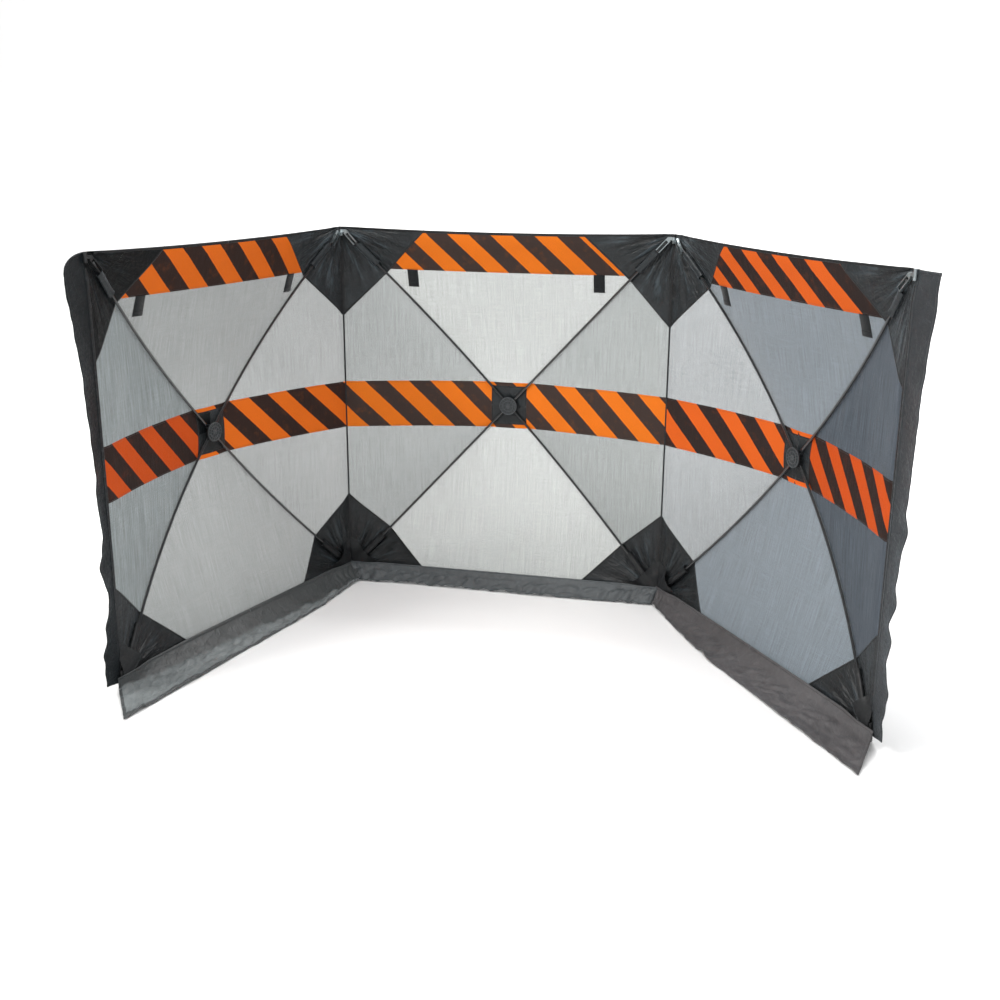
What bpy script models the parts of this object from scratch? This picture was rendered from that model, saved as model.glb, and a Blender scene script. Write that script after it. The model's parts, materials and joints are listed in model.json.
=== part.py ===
"""Pop-up ground blind: three hub-tensioned mesh walls, hinged along two vertical seams.

Metres, +Z up. The origin is under the foot of the left seam, whose hinge axis is the Z axis. The centre wall
runs along +X from there to the right seam, and +Y points out of the sheltered side. Each wall is built in its
own frame: x along the wall from its middle, y outwards, z up from the ground.

Four bowed poles spread each wall. They pivot in the hub's forks and in the corner brackets, so that the hub
can be pushed in and the poles fold together.
"""

import bpy
import bmesh
from math import atan2, cos, hypot, pi, radians, sin, tan
from mathutils import Matrix, Vector

# ---- driving dimensions ----
WALL_W = 1.35            # from seam axis to seam axis
WALL_H = 1.50            # from the ground to the top hem
WALL_BASE = 0.030        # the lower corners stand this high, on their feet
LEFT_TURN = radians(73.5)    # how far each side wall is turned in from the centre wall's line
RIGHT_TURN = radians(54.0)

HUB_BULGE = 0.14         # how far the hub's pivots stand out of the corners' plane
POLE_BOW = 0.037         # bow of a pole at its middle
POLE_R = 0.005
HUB_PIVOT_R = 0.030      # hub axis to pole pivot
CORNER_PIVOT = 0.050     # wall corner to pole pivot, along the diagonal
POLE_STUB = 0.008        # pole beyond its pivot
POLE_STEPS = 11

PIN_R = 0.0025           # pole pivot pins
PIN_BORE_R = 0.0031
PIN_HALF = 0.0086
BORE_HALF = 0.0095
CHEEK_IN = 0.0058        # a fork's cheeks, measured from the pole's centre
CHEEK_T = 0.002
BRACKET_CHEEK_T = 0.0032     # a corner bracket's cheeks are stouter
CHEEK_LOW = -0.006
CHEEK_HIGH = 0.005

CLOTH_T = 0.0015
CLOTH_OVER_POLE = 0.0085     # cloth's middle above a pole's middle
CLOTH_SAG = 0.018        # how far the cloth dips between two poles
CLOTH_GAP = 0.001        # cloth edge to the seam axis or the wall's middle line
CLOTH_CELLS = 6
CLOTH_CORNER_CUT = 0.055
CLOTH_HUB_HOLE_R = 0.0155

HUB_R = 0.0375
HUB_BACK = -0.016        # hub heights are counted outwards from the pole pivots
HUB_PLATE = -0.0115
HUB_BOSS_R = 0.013
HUB_BOSS_TOP = 0.0105
HUB_FORK_TOP = 0.0055
CAP_R = 0.019
CAP_BOTTOM = 0.0108
CAP_TOP = 0.0150
CAP_STEM_R = 0.005
CAP_STEM_LOW = -0.006
CAP_BORE_R = 0.0056
CAP_BORE_LOW = -0.0085

KNUCKLE_R = 0.0065
SEAM_PIN_R = 0.003
SEAM_BORE_R = 0.0036
FOOT_R = 0.010
FOOT_FLAT_R = 0.006
FOOT_H = 0.014
COLLAR_R = 0.0065
COLLAR_TOP = 0.011
LOW_KNUCKLE = (0.0115, 0.0235)   # heights above a lower corner, or below an upper one
HIGH_KNUCKLE = (0.0240, 0.0360)
PIN_HEAD = (0.0365, 0.0390)
PIN_HEAD_R = 0.0055
POST = (0.0, 0.034)      # a free corner's post; the lower one runs on down to its foot
ARM_LOW = (0.0245, (0.0120, 0.0230))    # an arm's reach from the seam axis, and its heights
ARM_HIGH = (0.0180, (0.0245, 0.0355))

SKIRT_TOP = 0.065        # where the skirt leaves the wall
SKIRT_OFF = 0.0125       # how far inside the wall it hangs
SKIRT_REACH = 0.085      # how far in it lies at a seam
SKIRT_FREE_REACH = 0.19  # and at a free edge
SKIRT_T = 0.002
SKIRT_CORNER = 0.020     # it starts this far past the mitre
SKIRT_FREE_END = 0.030   # and runs this far past a free edge where it hangs
SKIRT_FLARE = 0.85       # and further by this much of the way in

FLAP_W = 0.11
FLAP_TURN = radians(35)  # turned in from the wall's line
FLAP_T = 0.002
FLAP_START = 0.010
FLAP_LOW = 0.070

STRAP_W = 0.025
STRAP_T = 0.0016
STRAP_DROP = 0.07

# ---- worked out from them ----
HALF_W = WALL_W / 2
HALF_H = (WALL_H - WALL_BASE) / 2
MID_H = WALL_BASE + HALF_H
DIAGONAL = hypot(HALF_W, HALF_H)
SLOPE = atan2(HALF_H, HALF_W)
CORNER_PIVOT_R = DIAGONAL - CORNER_PIVOT
POLE_REACH = CORNER_PIVOT_R - HUB_PIVOT_R

# name, side of the wall (-1 left, 1 right), top or bottom (1, -1)
QUARTERS = (
    ("top_left", -1, 1),
    ("top_right", 1, 1),
    ("bottom_left", -1, -1),
    ("bottom_right", 1, -1),
)

# name, turn, the matrix of its frame, and which of its side edges are at a seam
CENTRE_FRAME = Matrix.Translation((HALF_W, 0, 0))
LEFT_FRAME = Matrix.Rotation(LEFT_TURN, 4, "Z") @ Matrix.Translation((-HALF_W, 0, 0))
RIGHT_FRAME = (
    Matrix.Translation((WALL_W, 0, 0))
    @ Matrix.Rotation(-RIGHT_TURN, 4, "Z")
    @ Matrix.Translation((HALF_W, 0, 0))
)
WALLS = (
    ("left", LEFT_FRAME, {1: LEFT_TURN}),
    ("centre", CENTRE_FRAME, {-1: LEFT_TURN, 1: RIGHT_TURN}),
    ("right", RIGHT_FRAME, {-1: RIGHT_TURN}),
)


# ---- scene, materials and small helpers ----
def clear_scene():
    for obj in list(bpy.data.objects):
        bpy.data.objects.remove(obj, do_unlink=True)


def new_collection(name):
    made = bpy.data.collections.new(name)
    bpy.context.scene.collection.children.link(made)
    return made


def principled(name, colour, roughness, metallic=0.0):
    mat = bpy.data.materials.new(name)
    mat.use_nodes = True
    shader = mat.node_tree.nodes["Principled BSDF"]
    shader.inputs["Base Color"].default_value = (*colour, 1.0)
    shader.inputs["Roughness"].default_value = roughness
    shader.inputs["Metallic"].default_value = metallic
    mat.diffuse_color = (*colour, 1.0)
    return mat


def from_bmesh(name, bm, collection):
    mesh = bpy.data.meshes.new(name)
    bm.to_mesh(mesh)
    bm.free()
    obj = bpy.data.objects.new(name, mesh)
    collection.objects.link(obj)
    return obj


def box(low, high):
    """A bmesh box between two corners."""
    low, high = Vector(low), Vector(high)
    bm = bmesh.new()
    bmesh.ops.create_cube(bm, size=1.0)
    size = Matrix.Diagonal((*(high - low), 1.0))
    bmesh.ops.transform(bm, matrix=Matrix.Translation((low + high) / 2) @ size, verts=bm.verts)
    return bm


def rod(radius, low, high, segments=12, axis="Z", centre=(0, 0, 0)):
    """A bmesh cylinder along an axis, from low to high."""
    bm = bmesh.new()
    bmesh.ops.create_cone(
        bm, cap_ends=True, segments=segments, radius1=radius, radius2=radius, depth=high - low
    )
    turn = {"X": Matrix.Rotation(pi / 2, 4, "Y"), "Y": Matrix.Rotation(-pi / 2, 4, "X"), "Z": Matrix()}
    lift = Matrix.Translation((0, 0, (low + high) / 2))
    bmesh.ops.transform(bm, matrix=Matrix.Translation(centre) @ turn[axis] @ lift, verts=bm.verts)
    return bm


def combine(obj, tool, operation):
    """Add a tool to an object, or cut it away, with an exact Boolean."""
    cut = obj.modifiers.new(operation.lower(), "BOOLEAN")
    cut.operation = operation
    cut.object = tool
    tool.hide_render = True
    tool.display_type = "WIRE"


def settle(obj):
    """Replace an object's mesh by what its modifiers make of it."""
    graph = bpy.context.evaluated_depsgraph_get()
    mesh = bpy.data.meshes.new_from_object(obj.evaluated_get(graph))
    obj.modifiers.clear()
    obj.data = mesh


def place(obj, parent, matrix, mat):
    """Hang an object on its wall's empty, in the wall's frame, with its material."""
    obj.parent = parent
    obj.matrix_local = matrix
    obj.data.materials.clear()
    obj.data.materials.append(mat)


def lathe(name, profile, collection, steps=16):
    """A turned piece: the profile's (radius, height) points run down its outer side."""
    bm = bmesh.new()
    verts = [bm.verts.new((radius, 0, height)) for radius, height in profile]
    for a, b in zip(verts, verts[1:]):
        bm.edges.new((a, b))
    obj = from_bmesh(name, bm, collection)
    turned = obj.modifiers.new("turned", "SCREW")
    turned.steps = steps
    turned.render_steps = steps
    turned.use_merge_vertices = True
    turned.merge_threshold = 0.00001
    return obj


# ---- shape of a wall ----
def pole_height(reach):
    """How far a pole's middle stands out, at a distance from the hub's axis."""
    s = min(max((reach - HUB_PIVOT_R) / POLE_REACH, 0.0), 1.0)
    return HUB_BULGE * (1 - s) + 4 * POLE_BOW * s * (1 - s)


def cloth_height(x, z):
    """How far the cloth stands out, at a place counted from the wall's middle."""
    u, v = abs(x) / HALF_W, abs(z) / HALF_H
    t = max(u, v)
    off_ridge = 1 - (min(u, v) / t) ** 2 if t > 0 else 0.0
    over = CLOTH_OVER_POLE * min(1.0, (1 - t) * DIAGONAL / CORNER_PIVOT)
    return pole_height(t * DIAGONAL) + over - 4 * CLOTH_SAG * t * (1 - t) * off_ridge


def diagonal_frame(side, level, reach, height):
    """A frame on a wall's diagonal: X towards the corner, Z outwards."""
    along = Vector((side * cos(SLOPE), 0, level * sin(SLOPE)))
    out = Vector((0, 1, 0))
    across = out.cross(along)
    turn = Matrix((along, across, out)).transposed().to_4x4()
    place_at = along * reach + Vector((0, height, MID_H))
    return Matrix.Translation(place_at) @ turn


# ---- the pieces ----
def make_pole(name, tools):
    """A bowed pole from the hub's pivot, with a pivot pin through each end."""
    points = []
    for i in range(POLE_STEPS + 1):
        x = -POLE_STUB + (POLE_REACH + 2 * POLE_STUB) * i / POLE_STEPS
        points.append((x, 0, pole_height(HUB_PIVOT_R + x) - HUB_BULGE))
    curve = bpy.data.curves.new(name, "CURVE")
    curve.dimensions = "3D"
    curve.bevel_depth = POLE_R
    curve.bevel_resolution = 2
    curve.use_fill_caps = True
    line = curve.splines.new("POLY")
    line.points.add(POLE_STEPS)
    for point, place_at in zip(line.points, points):
        point.co = (*place_at, 1)
    wire = bpy.data.objects.new(name + "_line", curve)
    tools.objects.link(wire)
    graph = bpy.context.evaluated_depsgraph_get()
    mesh = bpy.data.meshes.new_from_object(wire.evaluated_get(graph))
    bpy.data.objects.remove(wire)
    bm = bmesh.new()
    bm.from_mesh(mesh)
    bmesh.ops.remove_doubles(bm, verts=bm.verts, dist=0.00001)
    obj = from_bmesh(name, bm, tools)
    ends = ((0.0, 0.0), (POLE_REACH, -HUB_BULGE))
    for number, (x, z) in enumerate(ends):
        pin = rod(PIN_R, -PIN_HALF, PIN_HALF, 12, "Y", (x, 0, z))
        combine(obj, from_bmesh(f"{name}_pin_{number}", pin, tools), "UNION")
    settle(obj)
    return obj


def make_hub(name, tools):
    """A plate with a boss and four forks, open outwards so that the poles can fold."""
    obj = from_bmesh(name, rod(HUB_R, HUB_BACK, HUB_PLATE, 28), tools)
    boss = rod(HUB_BOSS_R, HUB_BACK + 0.001, HUB_BOSS_TOP, 16)
    combine(obj, from_bmesh(name + "_boss", boss, tools), "UNION")
    for quarter, side, level in QUARTERS:
        angle = atan2(level * sin(SLOPE), side * cos(SLOPE))
        turn = Matrix.Rotation(angle, 4, "Z")
        for hand in (-1, 1):
            near, far = hand * CHEEK_IN, hand * (CHEEK_IN + CHEEK_T)
            low = (HUB_PIVOT_R - 0.0075, min(near, far), HUB_BACK + 0.001)
            high = (HUB_PIVOT_R + 0.0065, max(near, far), HUB_FORK_TOP)
            cheek = box(low, high)
            bmesh.ops.transform(cheek, matrix=turn, verts=cheek.verts)
            combine(obj, from_bmesh(f"{name}_{quarter}_cheek", cheek, tools), "UNION")
        bore = rod(PIN_BORE_R, -BORE_HALF, BORE_HALF, 12, "Y", (HUB_PIVOT_R, 0, 0))
        bmesh.ops.transform(bore, matrix=turn, verts=bore.verts)
        combine(obj, from_bmesh(f"{name}_{quarter}_bore", bore, tools), "DIFFERENCE")
    well = rod(CAP_BORE_R, CAP_BORE_LOW, HUB_BOSS_TOP + 0.002, 16)
    combine(obj, from_bmesh(name + "_well", well, tools), "DIFFERENCE")
    settle(obj)
    return obj


def make_cap(name, tools):
    """The outer plate that clamps the cloth, with a stem in the hub's boss."""
    profile = (
        (0, CAP_TOP),
        (CAP_R - 0.004, CAP_TOP),
        (CAP_R, CAP_TOP - 0.0015),
        (CAP_R, CAP_BOTTOM),
        (CAP_STEM_R, CAP_BOTTOM),
        (CAP_STEM_R, CAP_STEM_LOW),
        (0, CAP_STEM_LOW),
    )
    return lathe(name, profile, tools)


def make_bracket(name, side, level, knuckle, tools):
    """A corner fork, in the wall's frame moved to the corner; with a knuckle on the seam axis, or a post."""
    frame = Matrix.Translation((-side * HALF_W, 0, -MID_H - level * HALF_H))
    frame = frame @ diagonal_frame(side, level, CORNER_PIVOT_R, 0.0)
    parts = []
    for hand in (-1, 1):
        near, far = hand * CHEEK_IN, hand * (CHEEK_IN + BRACKET_CHEEK_T)
        low = (-0.040, min(near, far), CHEEK_LOW)
        high = (0.022, max(near, far), CHEEK_HIGH)
        parts.append(box(low, high))
    half = CHEEK_IN + BRACKET_CHEEK_T
    web_low = (0.013, -half + 0.0004, CHEEK_LOW + 0.0004)
    web_high = (0.0216, half - 0.0004, CHEEK_HIGH - 0.0004)
    parts.append(box(web_low, web_high))
    for bm in parts:
        bmesh.ops.transform(bm, matrix=frame, verts=bm.verts)
    reach, heights = ARM_HIGH if knuckle == HIGH_KNUCKLE else ARM_LOW
    xs = sorted((-side * 0.004, -side * reach))
    zs = sorted(-level * height for height in heights)
    parts.append(box((xs[0], CHEEK_LOW + 0.0008, zs[0]), (xs[1], CHEEK_HIGH - 0.0008, zs[1])))
    low, high = sorted(-level * height for height in knuckle or POST)
    if not knuckle and level < 0:
        low = -WALL_BASE
        parts.append(rod(FOOT_R, low, low + FOOT_H, 16))
    parts.append(rod(KNUCKLE_R, low, high, 16))
    obj = from_bmesh(name, parts[0], tools)
    for number, bm in enumerate(parts[1:]):
        combine(obj, from_bmesh(f"{name}_part_{number}", bm, tools), "UNION")
    bore = rod(PIN_BORE_R, -BORE_HALF, BORE_HALF, 12, "Y")
    bmesh.ops.transform(bore, matrix=frame, verts=bore.verts)
    combine(obj, from_bmesh(name + "_bore", bore, tools), "DIFFERENCE")
    if knuckle:
        bore = rod(SEAM_BORE_R, low - 0.002, high + 0.002, 16)
        combine(obj, from_bmesh(name + "_seam_bore", bore, tools), "DIFFERENCE")
    settle(obj)
    return obj


def make_seam_pin(name, level, tools):
    """A seam's pin: a head and a shaft, on a collar that ends in a foot below or a button on top."""
    base = WALL_BASE if level < 0 else 0.0
    shape = [
        (0.0, PIN_HEAD[1]),
        (PIN_HEAD_R, PIN_HEAD[1]),
        (PIN_HEAD_R, PIN_HEAD[0]),
        (SEAM_PIN_R, PIN_HEAD[0]),
        (SEAM_PIN_R, COLLAR_TOP),
        (COLLAR_R, COLLAR_TOP),
    ]
    if level < 0:
        shape += [(COLLAR_R, FOOT_H - base), (FOOT_R, FOOT_H - 0.004 - base), (FOOT_R, 0.004 - base)]
    shape += [(FOOT_FLAT_R, -base), (0.0, -base)]
    if level > 0:
        shape = tuple((radius, -height) for radius, height in reversed(shape))
    return lathe(name, shape, tools)


def make_cloth(name, side, level, tools):
    """One quarter of a wall's mesh: from the wall's middle lines to its seam and hem."""
    bm = bmesh.new()
    bmesh.ops.create_grid(bm, x_segments=CLOTH_CELLS, y_segments=CLOTH_CELLS, size=0.5)
    for vert in bm.verts:
        u, v = vert.co.x + 0.5, vert.co.y + 0.5
        x = side * (CLOTH_GAP + u * (HALF_W - 2 * CLOTH_GAP))
        z = level * (CLOTH_GAP + v * (HALF_H - CLOTH_GAP))
        vert.co = (x, cloth_height(x, z), z + MID_H)
    bmesh.ops.triangulate(bm, faces=bm.faces, quad_method="FIXED")
    bmesh.ops.recalc_face_normals(bm, faces=bm.faces)
    obj = from_bmesh(name, bm, tools)
    thick = obj.modifiers.new("thick", "SOLIDIFY")
    thick.thickness = CLOTH_T
    thick.offset = 0.0
    corner = rod(CLOTH_CORNER_CUT, -0.05, 0.05, 24, "Y", (side * HALF_W, 0, MID_H + level * HALF_H))
    combine(obj, from_bmesh(name + "_corner", corner, tools), "DIFFERENCE")
    hole = rod(CLOTH_HUB_HOLE_R, 0.10, 0.20, 16, "Y", (0, 0, MID_H))
    combine(obj, from_bmesh(name + "_hole", hole, tools), "DIFFERENCE")
    settle(obj)
    return obj


def make_skirt(name, side, seams, tools):
    """Half a wall's ground skirt: it hangs inside the wall, then lies inwards on the ground.

    It ends on a seam's mitre, or flares past a free edge, and it lies further in towards a free edge.
    """
    turn = seams.get(side)
    end_reach = SKIRT_REACH if turn else SKIRT_FREE_REACH
    middle_reach = (end_reach + (SKIRT_REACH if -side in seams else SKIRT_FREE_REACH)) / 2
    rows = (
        (SKIRT_OFF - 0.0015, SKIRT_TOP),
        (SKIRT_OFF, 0.040),
        (SKIRT_OFF + 0.003, 0.016),
        (SKIRT_OFF + 0.010, 0.005),
        (SKIRT_OFF + 0.022, SKIRT_T / 2),
        (None, SKIRT_T / 2),
    )
    bm = bmesh.new()
    bmesh.ops.create_grid(bm, x_segments=6, y_segments=len(rows) - 1, size=0.5)
    for vert in bm.verts:
        u = vert.co.x + 0.5
        inward, height = rows[round((vert.co.y + 0.5) * (len(rows) - 1))]
        inward = inward or middle_reach + u * (end_reach - middle_reach)
        if turn:
            end = HALF_W - inward / tan((pi - turn) / 2) - SKIRT_CORNER
        else:
            end = HALF_W + SKIRT_FREE_END + SKIRT_FLARE * (inward - SKIRT_OFF)
        x = CLOTH_GAP + u * (end - CLOTH_GAP)
        vert.co = (side * x, -inward, height)
    bmesh.ops.recalc_face_normals(bm, faces=bm.faces)
    obj = from_bmesh(name, bm, tools)
    thick = obj.modifiers.new("thick", "SOLIDIFY")
    thick.thickness = SKIRT_T
    thick.offset = 0.0
    settle(obj)
    return obj


def make_flap(name, side, level, tools):
    """Half a side flap, beyond a free edge and turned a little inwards."""
    low, high = (FLAP_LOW, MID_H - CLOTH_GAP) if level < 0 else (MID_H + CLOTH_GAP, WALL_H - CLOTH_GAP)
    bm = bmesh.new()
    bmesh.ops.create_grid(bm, x_segments=3, y_segments=4, size=0.5)
    for vert in bm.verts:
        u, v = vert.co.x + 0.5, vert.co.y + 0.5
        out = FLAP_START + u * FLAP_W * cos(FLAP_TURN * u)
        inward = u * FLAP_W * sin(FLAP_TURN * u)
        vert.co = (side * (HALF_W + out), -inward, low + v * (high - low))
    bmesh.ops.recalc_face_normals(bm, faces=bm.faces)
    obj = from_bmesh(name, bm, tools)
    thick = obj.modifiers.new("thick", "SOLIDIFY")
    thick.thickness = FLAP_T
    thick.offset = 0.0
    settle(obj)
    return obj


def make_pull_strap(name, tools):
    """A webbing tab that hangs outside the wall, from just under the hub's cap."""
    start = CAP_R + 0.001
    bm = bmesh.new()
    bmesh.ops.create_grid(bm, x_segments=1, y_segments=4, size=0.5)
    for vert in bm.verts:
        v = vert.co.y + 0.5
        z = -start - v * STRAP_DROP
        out = cloth_height(0, z) + 0.0035 + 0.010 * sin(pi * v)
        vert.co = (vert.co.x * STRAP_W, out, MID_H + z)
    bmesh.ops.recalc_face_normals(bm, faces=bm.faces)
    obj = from_bmesh(name, bm, tools)
    thick = obj.modifiers.new("thick", "SOLIDIFY")
    thick.thickness = STRAP_T
    thick.offset = 0.0
    settle(obj)
    return obj


# ---- assembly ----
def adopt(obj, model, tools):
    """Move a finished piece from the tools to the model."""
    tools.objects.unlink(obj)
    model.objects.link(obj)


def build_wall(wall, frame, seams, model, tools, mats):
    """All of one wall's pieces, on an empty at the foot of its middle."""
    empty = bpy.data.objects.new(wall + "_wall", None)
    empty.matrix_world = frame
    model.objects.link(empty)
    pieces = []

    hub_frame = Matrix.Translation((0, HUB_BULGE, MID_H)) @ Matrix.Rotation(-pi / 2, 4, "X")
    flip = Matrix.Rotation(pi, 4, "Z")
    hub = make_hub(f"hub_{wall}", tools)
    pieces.append((hub, hub_frame @ flip, mats["hub"]))
    cap = make_cap(f"hub_cap_{wall}", tools)
    pieces.append((cap, hub_frame, mats["hub_cap"]))
    strap = make_pull_strap(f"pull_strap_{wall}", tools)
    pieces.append((strap, Matrix(), mats["webbing"]))

    for quarter, side, level in QUARTERS:
        pole = make_pole(f"pole_{wall}_{quarter}", tools)
        pieces.append((pole, diagonal_frame(side, level, HUB_PIVOT_R, HUB_BULGE), mats["pole"]))
        cloth = make_cloth(f"mesh_{wall}_{quarter}", side, level, tools)
        pieces.append((cloth, Matrix(), mats["mesh"]))
        knuckle = None
        if side in seams:
            knuckle = LOW_KNUCKLE if wall == "centre" else HIGH_KNUCKLE
        bracket = make_bracket(f"bracket_{wall}_{quarter}", side, level, knuckle, tools)
        corner = Matrix.Translation((side * HALF_W, 0, MID_H + level * HALF_H))
        pieces.append((bracket, corner, mats["bracket"]))
        if level < 0:
            name = "left" if side < 0 else "right"
            skirt = make_skirt(f"skirt_{wall}_{name}", side, seams, tools)
            pieces.append((skirt, Matrix(), mats["skirt"]))
        if side not in seams:
            name = "top" if level > 0 else "bottom"
            flap = make_flap(f"flap_{wall}_{name}", side, level, tools)
            pieces.append((flap, Matrix(), mats["skirt"]))
        if wall == "centre":
            name = ("left" if side < 0 else "right") + ("_top" if level > 0 else "_bottom")
            pin = make_seam_pin(f"seam_pin_{name}", level, tools)
            pieces.append((pin, corner, mats["seam_pin"]))

    for obj, matrix, mat in pieces:
        adopt(obj, model, tools)
        place(obj, empty, matrix, mat.copy())


def main():
    clear_scene()
    model = new_collection("pop_up_ground_blind")
    tools = new_collection("cutters")
    mats = {
        "pole": principled("pole", (0.02, 0.02, 0.022), 0.35),
        "hub": principled("hub", (0.06, 0.06, 0.065), 0.45),
        "hub_cap": principled("hub_cap", (0.05, 0.05, 0.055), 0.45),
        "bracket": principled("bracket", (0.62, 0.62, 0.60), 0.30, 1.0),
        "seam_pin": principled("seam_pin", (0.03, 0.03, 0.03), 0.5),
        "mesh": principled("mesh", (0.55, 0.57, 0.56), 0.8),
        "skirt": principled("skirt", (0.10, 0.105, 0.11), 0.85),
        "webbing": principled("webbing", (0.02, 0.02, 0.02), 0.8),
    }
    for wall, frame, seams in WALLS:
        build_wall(wall, frame, seams, model, tools, mats)


main()
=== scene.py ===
import json
from math import atan2, cos, exp, hypot, pi, radians, sin, sqrt, tan

import bmesh
import bpy
from mathutils import Matrix, Vector, noise


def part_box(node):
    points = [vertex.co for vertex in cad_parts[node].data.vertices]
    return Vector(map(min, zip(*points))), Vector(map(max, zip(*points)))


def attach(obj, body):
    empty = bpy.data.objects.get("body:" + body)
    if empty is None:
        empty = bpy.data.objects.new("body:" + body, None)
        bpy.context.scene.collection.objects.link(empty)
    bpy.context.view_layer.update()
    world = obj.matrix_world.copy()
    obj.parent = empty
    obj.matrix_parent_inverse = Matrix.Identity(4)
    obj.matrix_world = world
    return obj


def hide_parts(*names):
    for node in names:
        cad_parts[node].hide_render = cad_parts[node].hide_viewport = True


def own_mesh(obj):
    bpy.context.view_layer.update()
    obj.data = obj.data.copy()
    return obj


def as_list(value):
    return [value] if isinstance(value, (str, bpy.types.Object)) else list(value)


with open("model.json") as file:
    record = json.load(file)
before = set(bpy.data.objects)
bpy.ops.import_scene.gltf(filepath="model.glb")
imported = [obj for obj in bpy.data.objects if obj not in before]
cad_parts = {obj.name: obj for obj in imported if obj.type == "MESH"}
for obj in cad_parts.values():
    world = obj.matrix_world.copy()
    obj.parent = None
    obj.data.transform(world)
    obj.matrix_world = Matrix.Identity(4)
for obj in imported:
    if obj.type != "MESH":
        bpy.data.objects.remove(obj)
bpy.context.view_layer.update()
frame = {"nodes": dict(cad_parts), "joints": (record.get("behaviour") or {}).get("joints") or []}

# ---- dimensions of the frame, in metres ----
HUB_PIVOT_R = 0.030  # from a hub's middle to its pivots
CORNER_PIVOT = 0.050  # from a wall's corner to the pivot in its bracket
HUB_BULGE = 0.14  # how far a hub stands out from the wall's plane
POLE_BOW = 0.037
CLOTH_OVER_POLE = 0.0085  # from a pole's axis to the cloth that lies over it
CLOTH_SAG = 0.018  # how far the cloth dips between the poles

# ---- the cloth's regions, counted from a wall's middle or corner ----
BAND_HALF = 0.0975  # half the middle band's height
TOP_BAND = 0.170
TOP_HEM = 0.012
PATCH_X = 0.355  # a corner patch's legs: along the wall, and up it
PATCH_TOP_Z = 0.360
PATCH_LOW_Z = 0.340
HUB_PATCH_X = 0.075
HUB_PATCH_Z = 0.0825
STRIPE_PITCH = 0.181
TOP_DIP = 0.010  # how far the top edge hangs in its middle

# ---- thicknesses, sewing and mesh size ----
NET_T = 0.0006
BAND_T = 0.0008
FABRIC_T = 0.0010
SHEET_T = 0.0009
CELL = 0.022
SEAM_BINDING_W = 0.004
EDGE_BINDING_W = 0.010
PATCH_BINDING_W = 0.007
HUB_BINDING_W = 0.006
STITCH_INSET = 0.012  # from a patch's edge to its row of stitches

# ---- straps, pockets and sleeves ----
TIE_PLACES = {"left": (0.398, 0.410), "centre": (0.390, 0.382), "right": (0.395, 0.400)}  # from the middle
TIE_L, TIE_W, TIE_T = 0.073, 0.045, 0.0014
TIE_FOLD = 0.020
POCKET_LEG = 0.150
SLEEVE_FROM, SLEEVE_TO = 0.205, 0.098  # from the corner, along the pole
SLEEVE_WIDE, SLEEVE_DEEP, SLEEVE_BACK = 0.0128, 0.0078, 0.0068
SLEEVE_MEAN_R = 0.012
PULL_L, PULL_W, PULL_START = 0.068, 0.025, 0.021
PULL_CLOTH_L = 0.070  # along the tab's curve

# ---- skirts and flaps: tables of (distance, value), where a skirt's distance is from its wall's seam ----
SKIRT_TOPS = {
    "left": [(0.0, 0.066), (0.5, 0.066), (1.0, 0.064), (1.35, 0.048)],
    "centre": [(0.0, 0.066), (1.35, 0.062)],
    "right": [(0.0, 0.066), (0.5, 0.064), (1.0, 0.058), (1.35, 0.050)],
}
SKIRT_REACHES = {
    "left": [(0.0, 0.080), (0.33, 0.131), (0.51, 0.143), (0.85, 0.163), (1.05, 0.180), (1.35, 0.197)],
    "centre": [(0.0, 0.078), (0.30, 0.066), (0.85, 0.078), (1.35, 0.070)],
    "right": [(0.0, 0.050), (0.15, 0.075), (0.34, 0.109), (0.61, 0.141), (0.88, 0.155), (1.35, 0.182)],
}
FOLD_REACH = [(0.0, 0.088), (0.35, 0.085), (0.9, 0.068), (1.15, 0.048), (1.35, 0.018)]
FOLD_SHARE = 0.42  # the part of the left skirt's depth that stands against its wall
SKIRT_DEPTHS = {"left": (0.195, 0.165), "centre": (0.095, 0.095), "right": (0.110, 0.175)}
SKIRT_FREE_L, SKIRT_SEAM_L = 0.72, 0.62
SKIRT_OFF = 0.0125  # how far a skirt keeps off the wall's plane at the brackets
SKIRT_PAST = 0.012  # how far neighbouring skirts overlap at a seam
FLAP_W = 0.11
FLAP_LOW = 0.016
FLAP_CUT = 0.034  # how much higher the flap's lower corner is at its free edge
FLAP_TURNS = {  # degrees inwards, by height
    "left": [
        (0.0, 20.5), (0.143, 22.0), (0.39, 36.0), (0.47, 33.0), (0.76, 35.0), (1.04, 28.5), (1.36, 15.0),
        (1.46, 10.0),
    ],
    "right": [
        (0.0, 21.0), (0.15, 21.5), (0.318, 26.0), (0.641, 19.5), (0.898, 18.0), (1.147, 15.0), (1.5, 1.0),
    ],
}

JOINTS = {joint["name"]: joint for joint in frame["joints"]}
QUARTERS = {"top_left": (-1, 1), "top_right": (1, 1), "bottom_left": (-1, -1), "bottom_right": (1, -1)}
ENTRIES = {"left": "bottom_right", "centre": "bottom_left", "right": "bottom_left"}
WALL_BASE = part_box("mesh_centre_bottom_left")[0].z
WALL_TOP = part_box("mesh_centre_top_left")[1].z
LEFT_SEAM = Vector(JOINTS["seam_fold_left"]["pos_m"])
RIGHT_SEAM = Vector(JOINTS["seam_fold_right"]["pos_m"])
HALF_W = (RIGHT_SEAM - LEFT_SEAM).length / 2
HALF_H = (WALL_TOP - WALL_BASE) / 2
MID_H = (WALL_TOP + WALL_BASE) / 2
DIAGONAL = hypot(HALF_W, HALF_H)
SLOPE = atan2(HALF_H, HALF_W)
POLE_REACH = DIAGONAL - CORNER_PIVOT - HUB_PIVOT_R


def noise_at(x, y, z):
    return noise.noise(Vector((x, y, z)))


def smooth(t):
    t = min(max(t, 0.0), 1.0)
    return t * t * (3 - 2 * t)


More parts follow.
